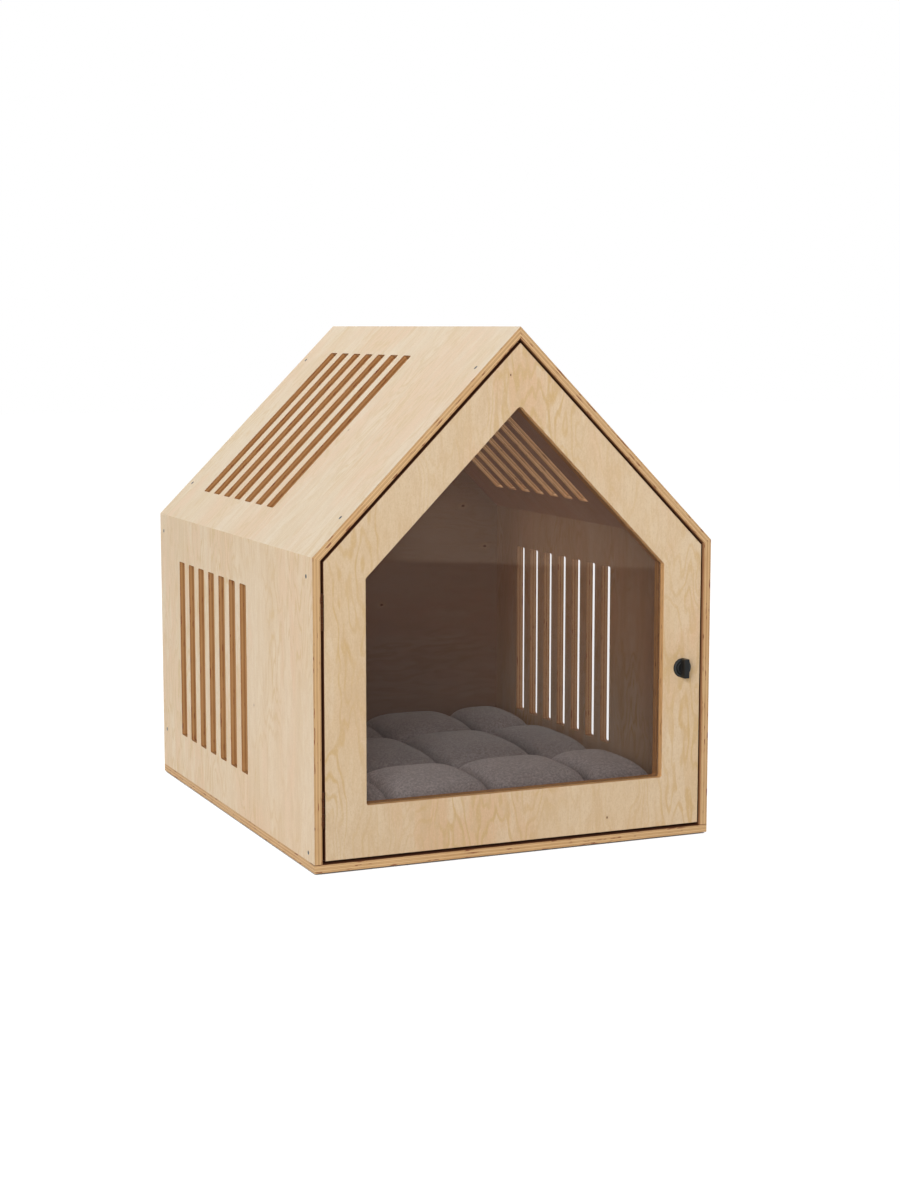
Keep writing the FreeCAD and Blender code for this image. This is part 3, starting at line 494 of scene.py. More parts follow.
def sawn_edge(finish, wood, birch, base, share, sheet, milled):
    """The edge of a panel, with its plies, glue lines and the dark patches in its inner plies, and
    on milled edges a painted shade along both arrises and a darker core ply. share is the depth
    in the panel, and sheet is how many times 12 mm the panel is thick. Gives the colour, the glue
    lines and the end-grain plies."""
    first, pitch = 0.1, 0.385
    ply = abs(finish.maths("FRACT", (share * sheet - first) / pitch + 0.5) - 0.5)
    end_ply = ply.smooth(0.27, 0.15)
    glue = abs(ply - 0.23).smooth(0.07, 0.03)
    uneven = birch.edge_tone.smooth(0.3, 0.7)
    colour = base
    for part, tone in (
        (end_ply * (0.3 + 0.7 * uneven), (0.7, 0.6, 0.5)),
        (birch.edge_streak.smooth(0.4, 0.75) * 0.3, (1.3, 1.3, 1.3)),
        (birch.edge_tone.smooth(0.45, 0.75) * 0.45, (0.8, 0.66, 0.55)),
        (glue * (0.25 + 0.6 * (1.0 - uneven)), (0.55, 0.36, 0.27)),
    ):
        colour = finish.mix(part, colour, finish.tint(base, tone))
    patches = birch.patch.smooth(0.62, 0.66) * ply.smooth(0.32, 0.2)
    colour = finish.mix(patches * 0.85, colour, rgb(wood.glue_colour))
    # painted shade along both arrises of a milled edge, and the darker core ply in its middle
    core = abs(share - 0.56).smooth(0.07, 0.03)
    arris_shade_and_core = finish.greatest(abs(share - 0.5).smooth(0.45, 0.49), core * 0.9)
    dark = finish.tint(base, (0.45, 0.33, 0.25))
    return finish.mix(arris_shade_and_core * milled * 0.7, colour, dark), glue, end_ply


def birch_plywood(
    name,
    wood,
    origin,
    normal,
    grain,
    thickness=PLY,
    seed=0,
    knots=(),
    cut=None,
    cut_tone=PLAIN,
    inside=0.5,
    inside_shade_tone=PLAIN,
    light_tones=(PLAIN, PLAIN),
    figure=1.0,
    outline=None,
    rebate=0,
    gap_front_shade=None,
    edge_shade=PLAIN,
    corner=None,
    low=PLAIN,
):
    """Plywood of one panel. Across its faces runs the veneer's figure along the grain, and on its
    edges the plies show. u runs along the grain, v across it and depth into the panel.

    cut is the part of the panel whose edges are milled, (u0, u1, v0, v1), and cut_tone is their
    tone; the milled edges are darker, partly by their own cut and partly by painted shade. Past
    inside, a share of the thickness, a face takes a painted shade for the inside of the house, by
    inside_shade_tone. light_tones are painted light at the panel's two sides: a painted sheen that
    makes the walls and roof paler, and on the door painted light that grows to its right. figure
    is how marked the veneer is. edge_shade darkens the sawn edges, a painted shade. outline is the
    door's: its lowest u, its half width and the sum of the two at its slopes. rebate is how deep
    the door sits in the shell. Both sides of the gap around the door are in painted shade, and
    gap_front_shade is the lighter painted shade of the shell's side of it in front. corner darkens
    the inner face towards an inner corner, a painted shade: (where it starts, where it ends, how
    much), along v, or along u where a fourth value is given. low is the painted tone of the
    mattress's light and shade on the foot of the inner face."""
    finish = material(name)
    depth_axis = -Vector(normal).normalized()
    along = Vector(grain).normalized()
    turn = Matrix((along, depth_axis.cross(along), depth_axis))
    position = finish.coordinate("Object")
    mapping = finish.node(
        "ShaderNodeMapping",
        {"vector_type": "POINT"},
        {
            "Vector": position,
            "Location": turn @ -Vector(origin),
            "Rotation": turn.to_euler("XYZ"),
        },
    )
    place = finish.wire(mapping)
    u, v, depth = finish.axes(place)
    _, room_y, room_z = finish.axes(position)
    facing = finish.vector(
        "DOT_PRODUCT", finish.coordinate("Normal"), tuple(depth_axis), output="Value"
    )
    on_face = abs(facing).smooth(0.55, 0.75)
    off_face = 1.0 - on_face
    shift = (seed * 3.17, seed * 5.71, seed * 1.93)
    birch = SimpleNamespace(
        **{key: finish.noise(place, *texture, shift) for key, texture in BIRCH.items()}
    )

    # the faces
    base = rgb(wood.face_colour)
    colour = veneer(finish, base, birch, wood.figure, figure)
    # painted light: paler for a painted sheen on the walls and roof, lighter to the right on the
    # door
    across = finish.mix(v.smooth(-0.3, 0.3), rgb(light_tones[0]), rgb(light_tones[1]))
    colour = finish.tint(colour, across)
    # painted shade: past a share of the thickness, faces inside the house take a darker colour,
    # tuned per panel
    inner = finish.maths("GREATER_THAN", depth, thickness * inside)
    inside_shade = [
        shaded / plain * tone
        for shaded, plain, tone in zip(wood.inside_shade_colour, base, inside_shade_tone)
    ]
    colour = finish.tint(colour, inside_shade, inner)
    # painted shade: the inner face darkens towards an inner corner
    if corner:
        start, end, level, *sideways = corner
        corner_shade_mask = (u if sideways else v).smooth(start, end)
        colour = finish.tint(colour, (level, level, level), corner_shade_mask * inner)
    # painted light and shade: beside the mattress the foot of the inner face takes a tone for its
    # shade and bounce
    colour = finish.tint(colour, low, room_z.smooth(0.3, 0.11) * inner)
    for middle_u, middle_v, size in knots:
        colour = knot(finish, colour, base, place, middle_u, middle_v, size)

    # the edges
    milled = 0.0
    # painted shade: the sawn edges of a panel may be darkened by a tone of their own
    edge_base = scaled(wood.edge_colour, *edge_shade)
    # the milled edges get a darker colour, partly their own cut and partly painted shade, tuned per
    # panel
    if cut:
        milled = milled_area(finish, u, v, cut)
        edge_base = finish.mix(milled, edge_base, scaled(wood.cut_colour, *cut_tone))
    share = depth / thickness
    edge, glue, end_ply = sawn_edge(
        finish, wood, birch, edge_base, share, thickness / PLY, milled
    )
    colour = finish.mix(on_face, edge, colour)
    roughness = wood.roughness + (birch.blotch - 0.5) * 0.12 + (birch.fibre - 0.5) * 0.15
    roughness = roughness + off_face * 0.2

    # the gap around the door, in painted shade, lighter at the front of the shell's side
    gap_shade = None
    gap_shade_tint = rgb(wood.gap_shade_colour)
    if outline:
        low_u, half_v, slope = outline
        out = finish.greatest(abs(v) - half_v, low_u - u, (abs(v) + u - slope) * SLOPE)
        beside = finish.maths("GREATER_THAN", out, -0.03) * off_face
        beside = beside * depth.smooth(0.0012, 0.0036)
        gap_shade = finish.greatest(out.smooth(-0.0004, 0.0), beside)
    if rebate:
        in_gap = finish.maths("LESS_THAN", room_y, FRONT + rebate)
        gap_shade = share.smooth(0.9, 0.95) * in_gap
    if gap_front_shade:
        ahead = room_y.smooth(FRONT + 0.0065, FRONT + 0.0025)
        gap_shade_tint = finish.mix(ahead, gap_shade_tint, rgb(gap_front_shade))
    if gap_shade:
        colour = finish.mix(gap_shade, colour, gap_shade_tint)
        roughness = roughness + gap_shade * 0.3

    height = birch.fibre * 0.35 + birch.streak * 0.08 - off_face * (glue * 0.5 + end_ply * 0.3)
    return finish.principled(
        Base_Color=colour,
        Roughness=roughness,
        Normal=finish.bump(height, 0.00025, 0.55),
        IOR=1.5,
    )


def smoked_acrylic(pane):
    """Clear sheet with a brown smoke tint. Light passes straight through, and its face mirrors
    the room."""
    finish = material("smoked_acrylic")
    place = finish.coordinate("Object")
    haze = finish.noise(place, 30.0, 3.0, 0.6)
    normal = finish.bump(finish.noise(place, 3.0, 1.0, 0.5), 0.00002, 0.1)
    through = finish.result("ShaderNodeBsdfTransparent", Color=rgb(pane.tint))
    gloss = finish.node(
        "ShaderNodeBsdfAnisotropic",
        {"distribution": "GGX"},
        {
            "Color": (0.6, 0.46, 0.34, 1.0),
            "Roughness": 0.004 + haze * 0.008,
            "Normal": normal,
        },
    )
    # seen through, the inner side of each face reflects as its outer side does, because nothing
    # bends the light here, while the slanting light of the lamps is held back
    behind = finish.wire(finish.node("ShaderNodeNewGeometry"), "Backfacing")
    behind = behind * finish.wire(finish.node("ShaderNodeLightPath"), "Is Camera Ray")
    index = 1.49
    mirrored = finish.result(
        "ShaderNodeFresnel", IOR=index - behind * (index - 1 / index), Normal=normal
    )
    clear = finish.between(mirrored, through, finish.wire(gloss))
    dust = finish.result("ShaderNodeBsdfDiffuse", Color=rgb(pane.dust))
    return finish.surface(finish.between(pane.dustiness * (0.8 + 0.4 * haze), clear, dust))


def moulded_plastic(name, colour, axis):
    """Satin black moulding with a fine spark-eroded grain and a little rubbing. Around the latch's
    axis runs a groove in painted shade, between two rings of painted highlight; the disc in the
    middle is painted darker, and the faces that don't face the front are painted darker too."""
    finish = material(name)
    place = finish.coordinate("Object")
    grain = finish.noise(place, 2600.0, 2.0, 0.6)
    rub = finish.noise(place, 180.0, 3.0, 0.6)
    flat = finish.vector("MULTIPLY", finish.vector("SUBTRACT", place, tuple(axis)), (1, 0, 1))
    away = finish.vector("LENGTH", flat, output="Value")
    ahead = finish.vector("DOT_PRODUCT", finish.coordinate("Normal"), (0, -1, 0), output="Value")
    ahead = ahead.smooth(0.6, 0.95)
    _, depth, _ = finish.axes(place)
    rosette = finish.maths("GREATER_THAN", depth, FRONT - 0.008) * ahead

    def ring(radius, reach, core):
        """1 on a ring around the axis, which fades from its core to its reach."""
        return abs(away - radius).smooth(reach, core) * rosette

    # painted shade in the groove and on the middle disc, and painted highlights on two rings beside
    # the groove
    groove = ring(0.0102, 0.0009, 0.0005)
    mark_mask = ring(0.0087, 0.0007, 0.0003)
    rim = ring(0.0121, 0.0015, 0.0008)
    disc_shade = away.smooth(0.0084, 0.0079) * rosette
    base = finish.mix(rub.smooth(0.45, 0.75), rgb(colour), scaled(colour, 1.6))
    # painted shade: the faces that don't face the front are darker
    base = finish.mix(ahead * 0.7, scaled(colour, 0.45), base)
    base = finish.mix(finish.greatest(groove, disc_shade * 0.8), base, scaled(colour, 0.12))
    light = finish.greatest(mark_mask * 0.8, rim * 0.9)
    return finish.principled(
        Base_Color=finish.mix(light * 0.8, base, scaled(colour, 3.0, 3.2, 3.3)),
        Roughness=0.4 + grain * 0.12 - rub.smooth(0.5, 0.8) * 0.1,
        Normal=finish.bump(grain * 0.1 - groove * 8.0, 0.00006, 0.5),
        IOR=1.5,
    )


def plated_steel(name, colour, roughness):
    """Plated metal with fine turning marks and a faint mottling of its plating."""
    finish = material(name)
    place = finish.coordinate("Object")
    mottle = finish.noise(place, 260.0, 3.0, 0.6)
    marks = finish.noise(place, (900.0, 900.0, 7000.0), 2.0, 0.5)
    patchy = mottle.smooth(0.3, 0.75)
    return finish.principled(
        Base_Color=finish.mix(patchy, scaled(colour, 1.12), scaled(colour, 0.78)),
        Metallic=0.9,
        Roughness=roughness + (marks - 0.5) * 0.2 + (mottle - 0.5) * 0.1,
        Normal=finish.bump(marks, 0.00003, 0.5),
    )


def soft_rubber(colour):
    """Matt rubber with dust in its fine grain."""
    finish = material("dark_rubber")
    place = finish.coordinate("Object")
    grain = finish.noise(place, 1500.0, 3.0, 0.6)
    dust = finish.noise(place, 70.0, 4.0, 0.6).smooth(0.45, 0.8) * 0.6
    return finish.principled(
        Base_Color=finish.mix(dust, rgb(colour), scaled(colour, 2.6)),
        Roughness=0.75 + grain * 0.15,
        Normal=finish.bump(grain, 0.0001, 0.6),
    )


def quilted_fabric(settings):
    """Short woven pile in a warm grey, with the channel stitching sunk in it. The front row is
    painted lighter and the rows behind darker, the left part is lighter, and the seams carry a
    painted shade.
    """
    finish = material("quilted_fabric")
    place = finish.coordinate("Object")
    x, y, z = finish.axes(place)
    yarn, stitch_length = 0.0016, 0.0052
    warp = finish.maths("SINE", (x + z) * (2 * math.pi / yarn))
    weft = finish.maths("SINE", (y + z) * (2 * math.pi / yarn))
    weave = warp * weft
    fuzz = finish.noise(place, 900.0, 3.0, 0.65)
    fleck = finish.noise(place, 290.0, 3.0, 0.8)
    nap = finish.noise(place, 22.0, 4.0, 0.6)
    top = z.smooth(0.036, 0.042)
    seams, shades, threads = [], [], []
    for axis, across, lines in ((x, y, SEAMS_X), (y, x, SEAMS_Y)):
        wave = finish.maths("SINE", across * (2 * math.pi / stitch_length))
        dashes = wave.smooth(-0.2, 0.3)
        for line in lines:
            away = abs(axis - line)
            seams.append(away.smooth(0.0026, 0.0006))
            shades.append(away.smooth(0.008, 0.0008))
            threads.append(away.smooth(0.0009, 0.0004) * dashes)
    seam, shade, stitch = (finish.greatest(*group) * top for group in (seams, shades, threads))
    base = rgb(settings.fabric_colour)
    mark_mask = nap.smooth(0.3, 0.72)
    colour = finish.mix(mark_mask, scaled(base, 1.08), scaled(base, 0.9, 0.89, 0.88))
    colour = finish.layered(
        colour,
        base,
        (fuzz.smooth(0.5, 0.8) * 0.35, 1.45),
        (weave.smooth(0.2, 1.0) * 0.2, 0.68),
        (fleck.smooth(0.5, 0.58) * 0.8, 0.72),
        (fleck.smooth(0.48, 0.4) * 0.8, 1.3),
    )
    # painted light: the front row is lighter and the rows behind darker; the left part is lighter
    # too
    front = y.smooth(FRONT + 0.335, FRONT + 0.27)
    tone = finish.mix(front, (0.775, 0.775, 0.78, 1.0), (1.22, 1.23, 1.25, 1.0))
    colour = finish.tint(colour, tone)
    colour = finish.tint(colour, (1.24, 1.27, 1.28), x.smooth(0.04, -0.26))
    # painted shade along the creases of the seams, with lighter stitch thread on them
    stitched = (shade * 0.75, 0.3), (seam * 0.75, 0.22), (stitch * 0.5, 1.2)
    colour = finish.layered(colour, base, *stitched)
    return finish.principled(
        Base_Color=colour,
        Roughness=0.88 + fuzz * 0.1,
        Normal=finish.bump(weave * 0.3 + fuzz * 0.9 - seam * 2.5 + stitch * 2.0, 0.0003, 0.7),
        Sheen_Weight=0.35,
        Sheen_Roughness=0.45,
        Specular_IOR_Level=0.2,
    )


# -------- helpers for the pieces


def deselect():
    if bpy.context.object and bpy.context.object.mode != "OBJECT":
        bpy.ops.object.mode_set(mode="OBJECT")
    bpy.ops.object.select_all(action="DESELECT")
    bpy.context.view_layer.objects.active = None


def pick(piece):
    deselect()
    piece.select_set(True)
    bpy.context.view_layer.objects.active = piece


def cover(node_name, finish):
    """Gives a part from the frame its finish."""
    mesh = NODES[node_name].data
    mesh.materials.clear()
    mesh.materials.append(finish)


def soften(node_name, width, segments):
    """Rounds the sharp edges of a part from the frame, without touching its own mesh."""
    node = NODES[node_name]
    weld = node.modifiers.new("Weld", "WELD")
    weld.merge_threshold = 0.00001
    bevel = node.modifiers.new("Soft edges", "BEVEL")
    bevel.width = width
    bevel.segments = segments
    bevel.limit_method = "ANGLE"
    bevel.angle_limit = math.radians(35)
    bevel.use_clamp_overlap = False


def dress(finish, names, rounding=0, segments=2):
    """Gives like parts from the frame their finish, and rounds their edges."""
    for name in names:
        cover(name, finish)
        if rounding:
            soften(name, rounding, segments)


# -------- operators


class DOGHOUSE_OT_plywood_panels(bpy.types.Operator):
    """Finishes every plywood panel with its own veneer and sawn edges"""

    bl_idname = "doghouse.plywood_panels"
    bl_label = "Plywood panels"

    def execute(self, context):
        wood = context.scene.dog_house_wood
        wall = HALF_WIDTH
        roof = (wall / 2, 0.0, wall * 0.5 + EAVE)
        up = (0, 0, 1)
        outward = (0, -1, 0)
        wall_slots = (0.04, 0.41, -0.34, 0.34)
        roof_slots = (-0.19, 0.19, -0.34, 0.34)
        everywhere = (-1, 1, -1, 1)
        pale_cut = (1.85, 2.05, 2.2)
        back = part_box("back_panel")[1].y
        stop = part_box("door_stop_frame")[0].y
        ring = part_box("pane_retaining_ring")[0].y
        # painted sheen: the walls and the roof are paler than the door, for the sheen of their
        # lacquer
        wall_sheen = ((1.07, 1.1, 1.12), (1.07, 1.07, 1.08))
        roof_sheen = ((1.06, 1.13, 1.23), (1.07, 1.14, 1.25))
        panels = {
            "left_wall_panel": dict(
                origin=(-wall, 0, 0), normal=(-1, 0, 0), grain=up, seed=1, light_tones=wall_sheen,
                knots=((0.195, 0.107, 0.0012),), cut=wall_slots, rebate=DOOR,
                edge_shade=(0.94, 0.94, 0.93), cut_tone=(0.98, 1.04, 1.08),
            ),
            "right_wall_panel": dict(
                origin=(wall, 0, 0), normal=(1, 0, 0), grain=up, seed=2, light_tones=wall_sheen,
                cut=wall_slots, rebate=DOOR, inside_shade_tone=(1.45, 1.38, 1.2), figure=1.1,
                cut_tone=(1.12, 1.28, 1.65), gap_front_shade=(0.42, 0.2, 0.09),
                corner=(0.2, 0.34, 0.68), low=(0.97, 1.15, 1.32),
            ),
            "left_roof_panel": dict(
                origin=(-roof[0], 0, roof[2]), normal=(-SLOPE, 0, SLOPE),
                grain=(SLOPE, 0, SLOPE), seed=3, light_tones=roof_sheen, figure=0.7,
                knots=((0.003, 0.093, 0.0012),), cut=roof_slots, rebate=DOOR,
            ),
            "right_roof_panel": dict(
                origin=roof, normal=(SLOPE, 0, SLOPE), grain=(-SLOPE, 0, SLOPE), seed=4,
                light_tones=roof_sheen, figure=0.7, cut=roof_slots, rebate=DOOR,
                cut_tone=(2.1, 2.7, 3.7), inside_shade_tone=(1.3, 1.02, 0.85), gap_front_shade=(0.3, 0.13, 0.055),
            ),
            "floor_panel": dict(
                origin=(0, 0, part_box("floor_panel")[0].z), normal=(0, 0, -1),
                grain=(1, 0, 0), seed=5, rebate=DOOR,
            ),
            "back_panel": dict(
                origin=(0, back, 0), normal=(0, 1, 0), grain=(1, 0, 0), seed=6, figure=0.75,
                knots=((0.232, 0.436, 0.0024), (0.274, 0.363, 0.0024), (0.077, 0.268, 0.002)),
                inside_shade_tone=(1.1, 1.08, 1.02), corner=(-0.29, 0.2, 0.7, "u"),
                low=(0.88, 0.95, 1.06),
            ),
            "door_stop_frame": dict(
                origin=(0, stop, 0), normal=outward, grain=up, seed=7, cut=everywhere,
                cut_tone=pale_cut,
            ),
            "door_frame": dict(
                origin=(0, FRONT, 0), normal=outward, grain=up, seed=8, thickness=DOOR,
                knots=((0.683, -0.015, 0.0011), (0.0393, 0.1426, 0.0013)),
                # painted light: the door is a little darker at its left and lighter at its right
                light_tones=((0.98, 0.96, 0.94), (1.07, 1.045, 1.02)), cut=everywhere,
                cut_tone=(1.6, 1.92, 2.25), inside_shade_tone=(1.5, 1.8, 1.7),
                outline=(0.018, 0.294, 0.7274),
            ),
            "pane_retaining_ring": dict(
                origin=(0, ring, 0), normal=outward, grain=up, seed=9, thickness=0.003,
                # inside=-1 gives the whole ring the painted shade of the inside
                cut=everywhere, cut_tone=pale_cut, inside=-1,
            ),
        }
        for name, look in panels.items():
            cover(name, birch_plywood("birch_" + name, wood, **look))
        return {"FINISHED"}


class DOGHOUSE_OT_window_pane(bpy.types.Operator):
    """Finishes the window in smoked acrylic"""

    bl_idname = "doghouse.window_pane"
    bl_label = "Window pane"

    def execute(self, context):
        cover("window_pane", smoked_acrylic(context.scene.dog_house_pane))
        return {"FINISHED"}


class DOGHOUSE_OT_mattress(bpy.types.Operator):
    """Makes the quilted mattress: a block, quilted along its seams and filled out as cloth"""

    bl_idname = "doghouse.mattress"
    bl_label = "Mattress"

    def execute(self, context):
        settings = context.scene.dog_house_mattress
        low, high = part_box("cushion")
        edge = settings.clearance
        self.sides_x = [low.x + edge, *SEAMS_X, high.x + OVERHANG]
        self.sides_y = [low.y + edge, *SEAMS_Y, high.y - edge]
        self.bottom = low.z + LIFT
        mattress = self.rounded_block(settings)
        self.quilt(mattress, settings)
        self.fill_out(context, mattress, settings)
        pick(mattress)
        smooth = mattress.modifiers.new("Subdivision", "SUBSURF")
        smooth.levels = smooth.render_levels = 1
        bpy.ops.object.modifier_apply(modifier=smooth.name)
        self.crease(mattress, settings, high.z - CROWN_ROOM)
        bpy.ops.object.shade_smooth()
        mattress.vertex_groups.clear()
        mattress.data.materials.append(quilted_fabric(settings))
        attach(mattress, "shell")
        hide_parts("cushion")
        return {"FINISHED"}

    def rounded_block(self, settings):
        """A block with rounded corners, as an even mesh of small squares."""
        x0, x1 = self.sides_x[0], self.sides_x[-1]
        y0, y1 = self.sides_y[0], self.sides_y[-1]
        upright_corners = (True, 0.035, 6)
        top_and_bottom_rims = (False, 0.009, 3)
        deselect()
        bpy.ops.mesh.primitive_cube_add(
            size=1,
            location=((x0 + x1) / 2, (y0 + y1) / 2, self.bottom + BLOCK / 2),
            scale=(x1 - x0, y1 - y0, BLOCK),
        )
        bpy.ops.object.transform_apply(location=True, rotation=True, scale=True)
        block = bpy.context.object
        block.name = "quilted_mattress"
        for upright, radius, segments in (upright_corners, top_and_bottom_rims):
            bpy.ops.object.mode_set(mode="EDIT")
            bpy.ops.mesh.select_mode(type="EDGE")
            bpy.ops.mesh.select_all(action="DESELECT")
            bpy.ops.object.mode_set(mode="OBJECT")
            points = block.data.vertices
            for line in block.data.edges:
                first, last = (points[i].co for i in line.vertices)
                rises = abs(first.z - last.z) > 0.01
                rim = abs(first.z - last.z) < 0.001
                line.select = rises if upright else rim
            bpy.ops.object.mode_set(mode="EDIT")
            bpy.ops.mesh.bevel(offset=radius, segments=segments, affect="EDGES")
            bpy.ops.object.mode_set(mode="OBJECT")
        block.data.remesh_voxel_size = settings.voxel
        bpy.ops.object.voxel_remesh()
        return block

    def cell(self, place, sides):
        """How far a place is across its quilted square: -1 and 1 at the seams, 0 between them."""
        for start, end in zip(sides, sides[1:]):
            if place <= end or end == sides[-1]:
                return (place - (start + end) / 2) / ((end - start) / 2)

    def top(self, x, y, settings):
        """Height of the quilted top at a place. The seams fall off towards the sides."""
        fall_reach, fall_height = 0.045, 0.012
        across = min(abs(self.cell(x, self.sides_x)), 1.0)
        along = min(abs(self.cell(y, self.sides_y)), 1.0)
        dome = ((1 - across**4) * (1 - along**3)) ** 0.5
        rim = min(
            x - self.sides_x[0], self.sides_x[-1] - x, y - self.sides_y[0], self.sides_y[-1] - y
        )
        fall = max(0.0, 1 - max(rim, 0.0) / fall_reach) ** 2
        seam = settings.seam_height - fall_height * fall
        return seam + (settings.crown_height - settings.seam_height) * dome

    def to_seam(self, place, seams):
        return min(abs(place - seam) for seam in seams)

    def snapped(self, place, seams, settings):
        """A place, moved onto a seam where the mesh has no nearer point."""
        nearest = min(seams, key=lambda seam: abs(place - seam))
        return nearest if abs(place - nearest) < settings.voxel * 0.5 else place

    def tuck(self, settings, to_seam, across):
        """How far a side is pulled in: where a seam ends, and also in the middle of the side."""
        width = 0.022
        pull = settings.tuck * math.exp(-((to_seam / width) ** 2))
        return pull + settings.tuck * 0.8 * (1 - across**2)

    def quilt(self, mattress, settings):
        """Gives the block its quilted top and pulls its sides in where the seams end."""
        middle_x = (self.sides_x[0] + self.sides_x[-1]) / 2
        middle_y = (self.sides_y[0] + self.sides_y[-1]) / 2
        half_x = self.sides_x[-1] - middle_x
        half_y = self.sides_y[-1] - middle_y
        held = []
        for vertex in mattress.data.vertices:
            x, y, z = vertex.co
            up = (z - self.bottom) / BLOCK
            if up > 0.9:
                x = self.snapped(x, SEAMS_X, settings)
                y = self.snapped(y, SEAMS_Y, settings)
            height = self.top(x, y, settings) - self.bottom
            near_x, near_y = self.to_seam(x, SEAMS_X), self.to_seam(y, SEAMS_Y)
            across_x = (x - middle_x) / half_x
            across_y = (y - middle_y) / half_y
            pull_x = self.tuck(settings, near_y, across_y)
            pull_y = self.tuck(settings, near_x, across_x)
            tall = math.sin(math.pi * min(max(up, 0.0), 1.0)) * 0.4 + 0.6 * up
            vertex.co = (
                x - across_x * pull_x * abs(across_x) ** 3 * tall,
                y - across_y * pull_y * abs(across_y) ** 3 * tall,
                self.bottom + up * height,
            )
            on_seam = min(near_x, near_y) < settings.voxel * 0.55 and up > 0.6
            if on_seam or up < 0.03:
                held.append(vertex.index)
        mattress.vertex_groups.new(name="held").add(held, 1.0, "REPLACE")

    def fill_out(self, context, mattress, settings):
        """Swells the cover with a cloth simulation, then limits how far each point has moved."""
        start = [vertex.co.copy() for vertex in mattress.data.vertices]
        cloth = mattress.modifiers.new("Cloth", "CLOTH")
        fabric = cloth.settings
        fabric.use_pressure = True
        fabric.uniform_pressure_force = settings.pressure
        fabric.effector_weights.gravity = 0
        fabric.vertex_group_mass = "held"
        fabric.quality = 5
        fabric.tension_stiffness = 12
        fabric.bending_stiffness = 0.4
        for step in range(1, LAST_FRAME + 1):
            context.scene.frame_set(step)
        pick(mattress)
        bpy.ops.object.modifier_apply(modifier=cloth.name)
        context.scene.frame_set(1)
        for vertex, begin in zip(mattress.data.vertices, start):
            move = vertex.co - begin
            if move.length > settings.swell:
                move *= settings.swell / move.length
            vertex.co = begin + move

    def crease(self, mattress, settings, crown):
        """Sinks the stitched seams, narrower than the mesh was before, and keeps the mattress in
        its space. crown is the greatest height that it may reach, and steady one that stays."""
        low_part, steady, groove, swell = 0.04, 0.05, 0.005, 0.003
        points = mattress.data.vertices
        tallest = max(vertex.co.z for vertex in points)
        for vertex in points:
            x, y, z = vertex.co
            if z > low_part:
                away = min(self.to_seam(x, SEAMS_X), self.to_seam(y, SEAMS_Y))
                z = steady + (z - steady) * (crown - steady) / (tallest - steady)
                z -= settings.seam_depth * math.exp(-((away / groove) ** 2))
            vertex.co = (
                min(max(x, self.sides_x[0] - swell), self.sides_x[-1] + swell),
                min(max(y, self.sides_y[0] - swell), self.sides_y[-1] + swell),
                max(z, self.bottom),
            )


class DOGHOUSE_OT_latch(bpy.types.Operator):
    """Finishes the latch: black rosette, thumb-turn and nut, plated spindle and cam"""

    bl_idname = "doghouse.latch"
    bl_label = "Latch"

    def execute(self, context):
        fittings = context.scene.dog_house_fittings
        low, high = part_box("latch_housing")
        axis = (low + high) / 2
        plastic = moulded_plastic("latch_rosette", fittings.plastic_colour, axis)
        knob = moulded_plastic("latch_thumb_turn", fittings.plastic_colour, axis)
        plated = plated_steel("latch_steel", fittings.zinc_colour, 0.3)
        dress(plastic, ("latch_housing",), 0.0004, 3)
        dress(knob, ("latch_knob", "latch_nut"), 0.0004, 3)
        dress(plated, ("latch_spindle", "latch_cam", "cam_screw", "strike_plate"), 0.0002)
        return {"FINISHED"}


class DOGHOUSE_OT_hinges(bpy.types.Operator):
    """Finishes the two hinges, leaf by leaf"""

    bl_idname = "doghouse.hinges"
    bl_label = "Hinges"

    def execute(self, context):
        fittings = context.scene.dog_house_fittings
        bronze = plated_steel("bronze_hinge_metal", fittings.bronze_colour, 0.42)
        for hinge in ("upper_hinge_", "lower_hinge_"):
            dress(bronze, [hinge + part for part in ("wall_leaf", "door_leaf", "pin")], 0.0002)
        return {"FINISHED"}


class DOGHOUSE_OT_screws(bpy.types.Operator):
    """Finishes the screws of the shell, hinges, window and strike plate"""

    bl_idname = "doghouse.screws"
    bl_label = "Screws"

    def execute(self, context):
        fittings = context.scene.dog_house_fittings
        zinc = plated_steel("zinc_plated_steel", fittings.zinc_colour, 0.38)
        held = ("shell", "floor", "hinge_wall", "hinge_door", "retaining_ring", "strike_plate")
        dress(zinc, [part + "_screws" for part in held])
        return {"FINISHED"}


class DOGHOUSE_OT_rubber_parts(bpy.types.Operator):
    """Finishes the floor pads and the door buffers"""

    bl_idname = "doghouse.rubber_parts"
    bl_label = "Pads and buffers"

    def execute(self, context):
        rubber = soft_rubber(context.scene.dog_house_fittings.rubber_colour)
        dress(rubber, ("foot_pads", "door_buffers"), 0.0003)
        return {"FINISHED"}


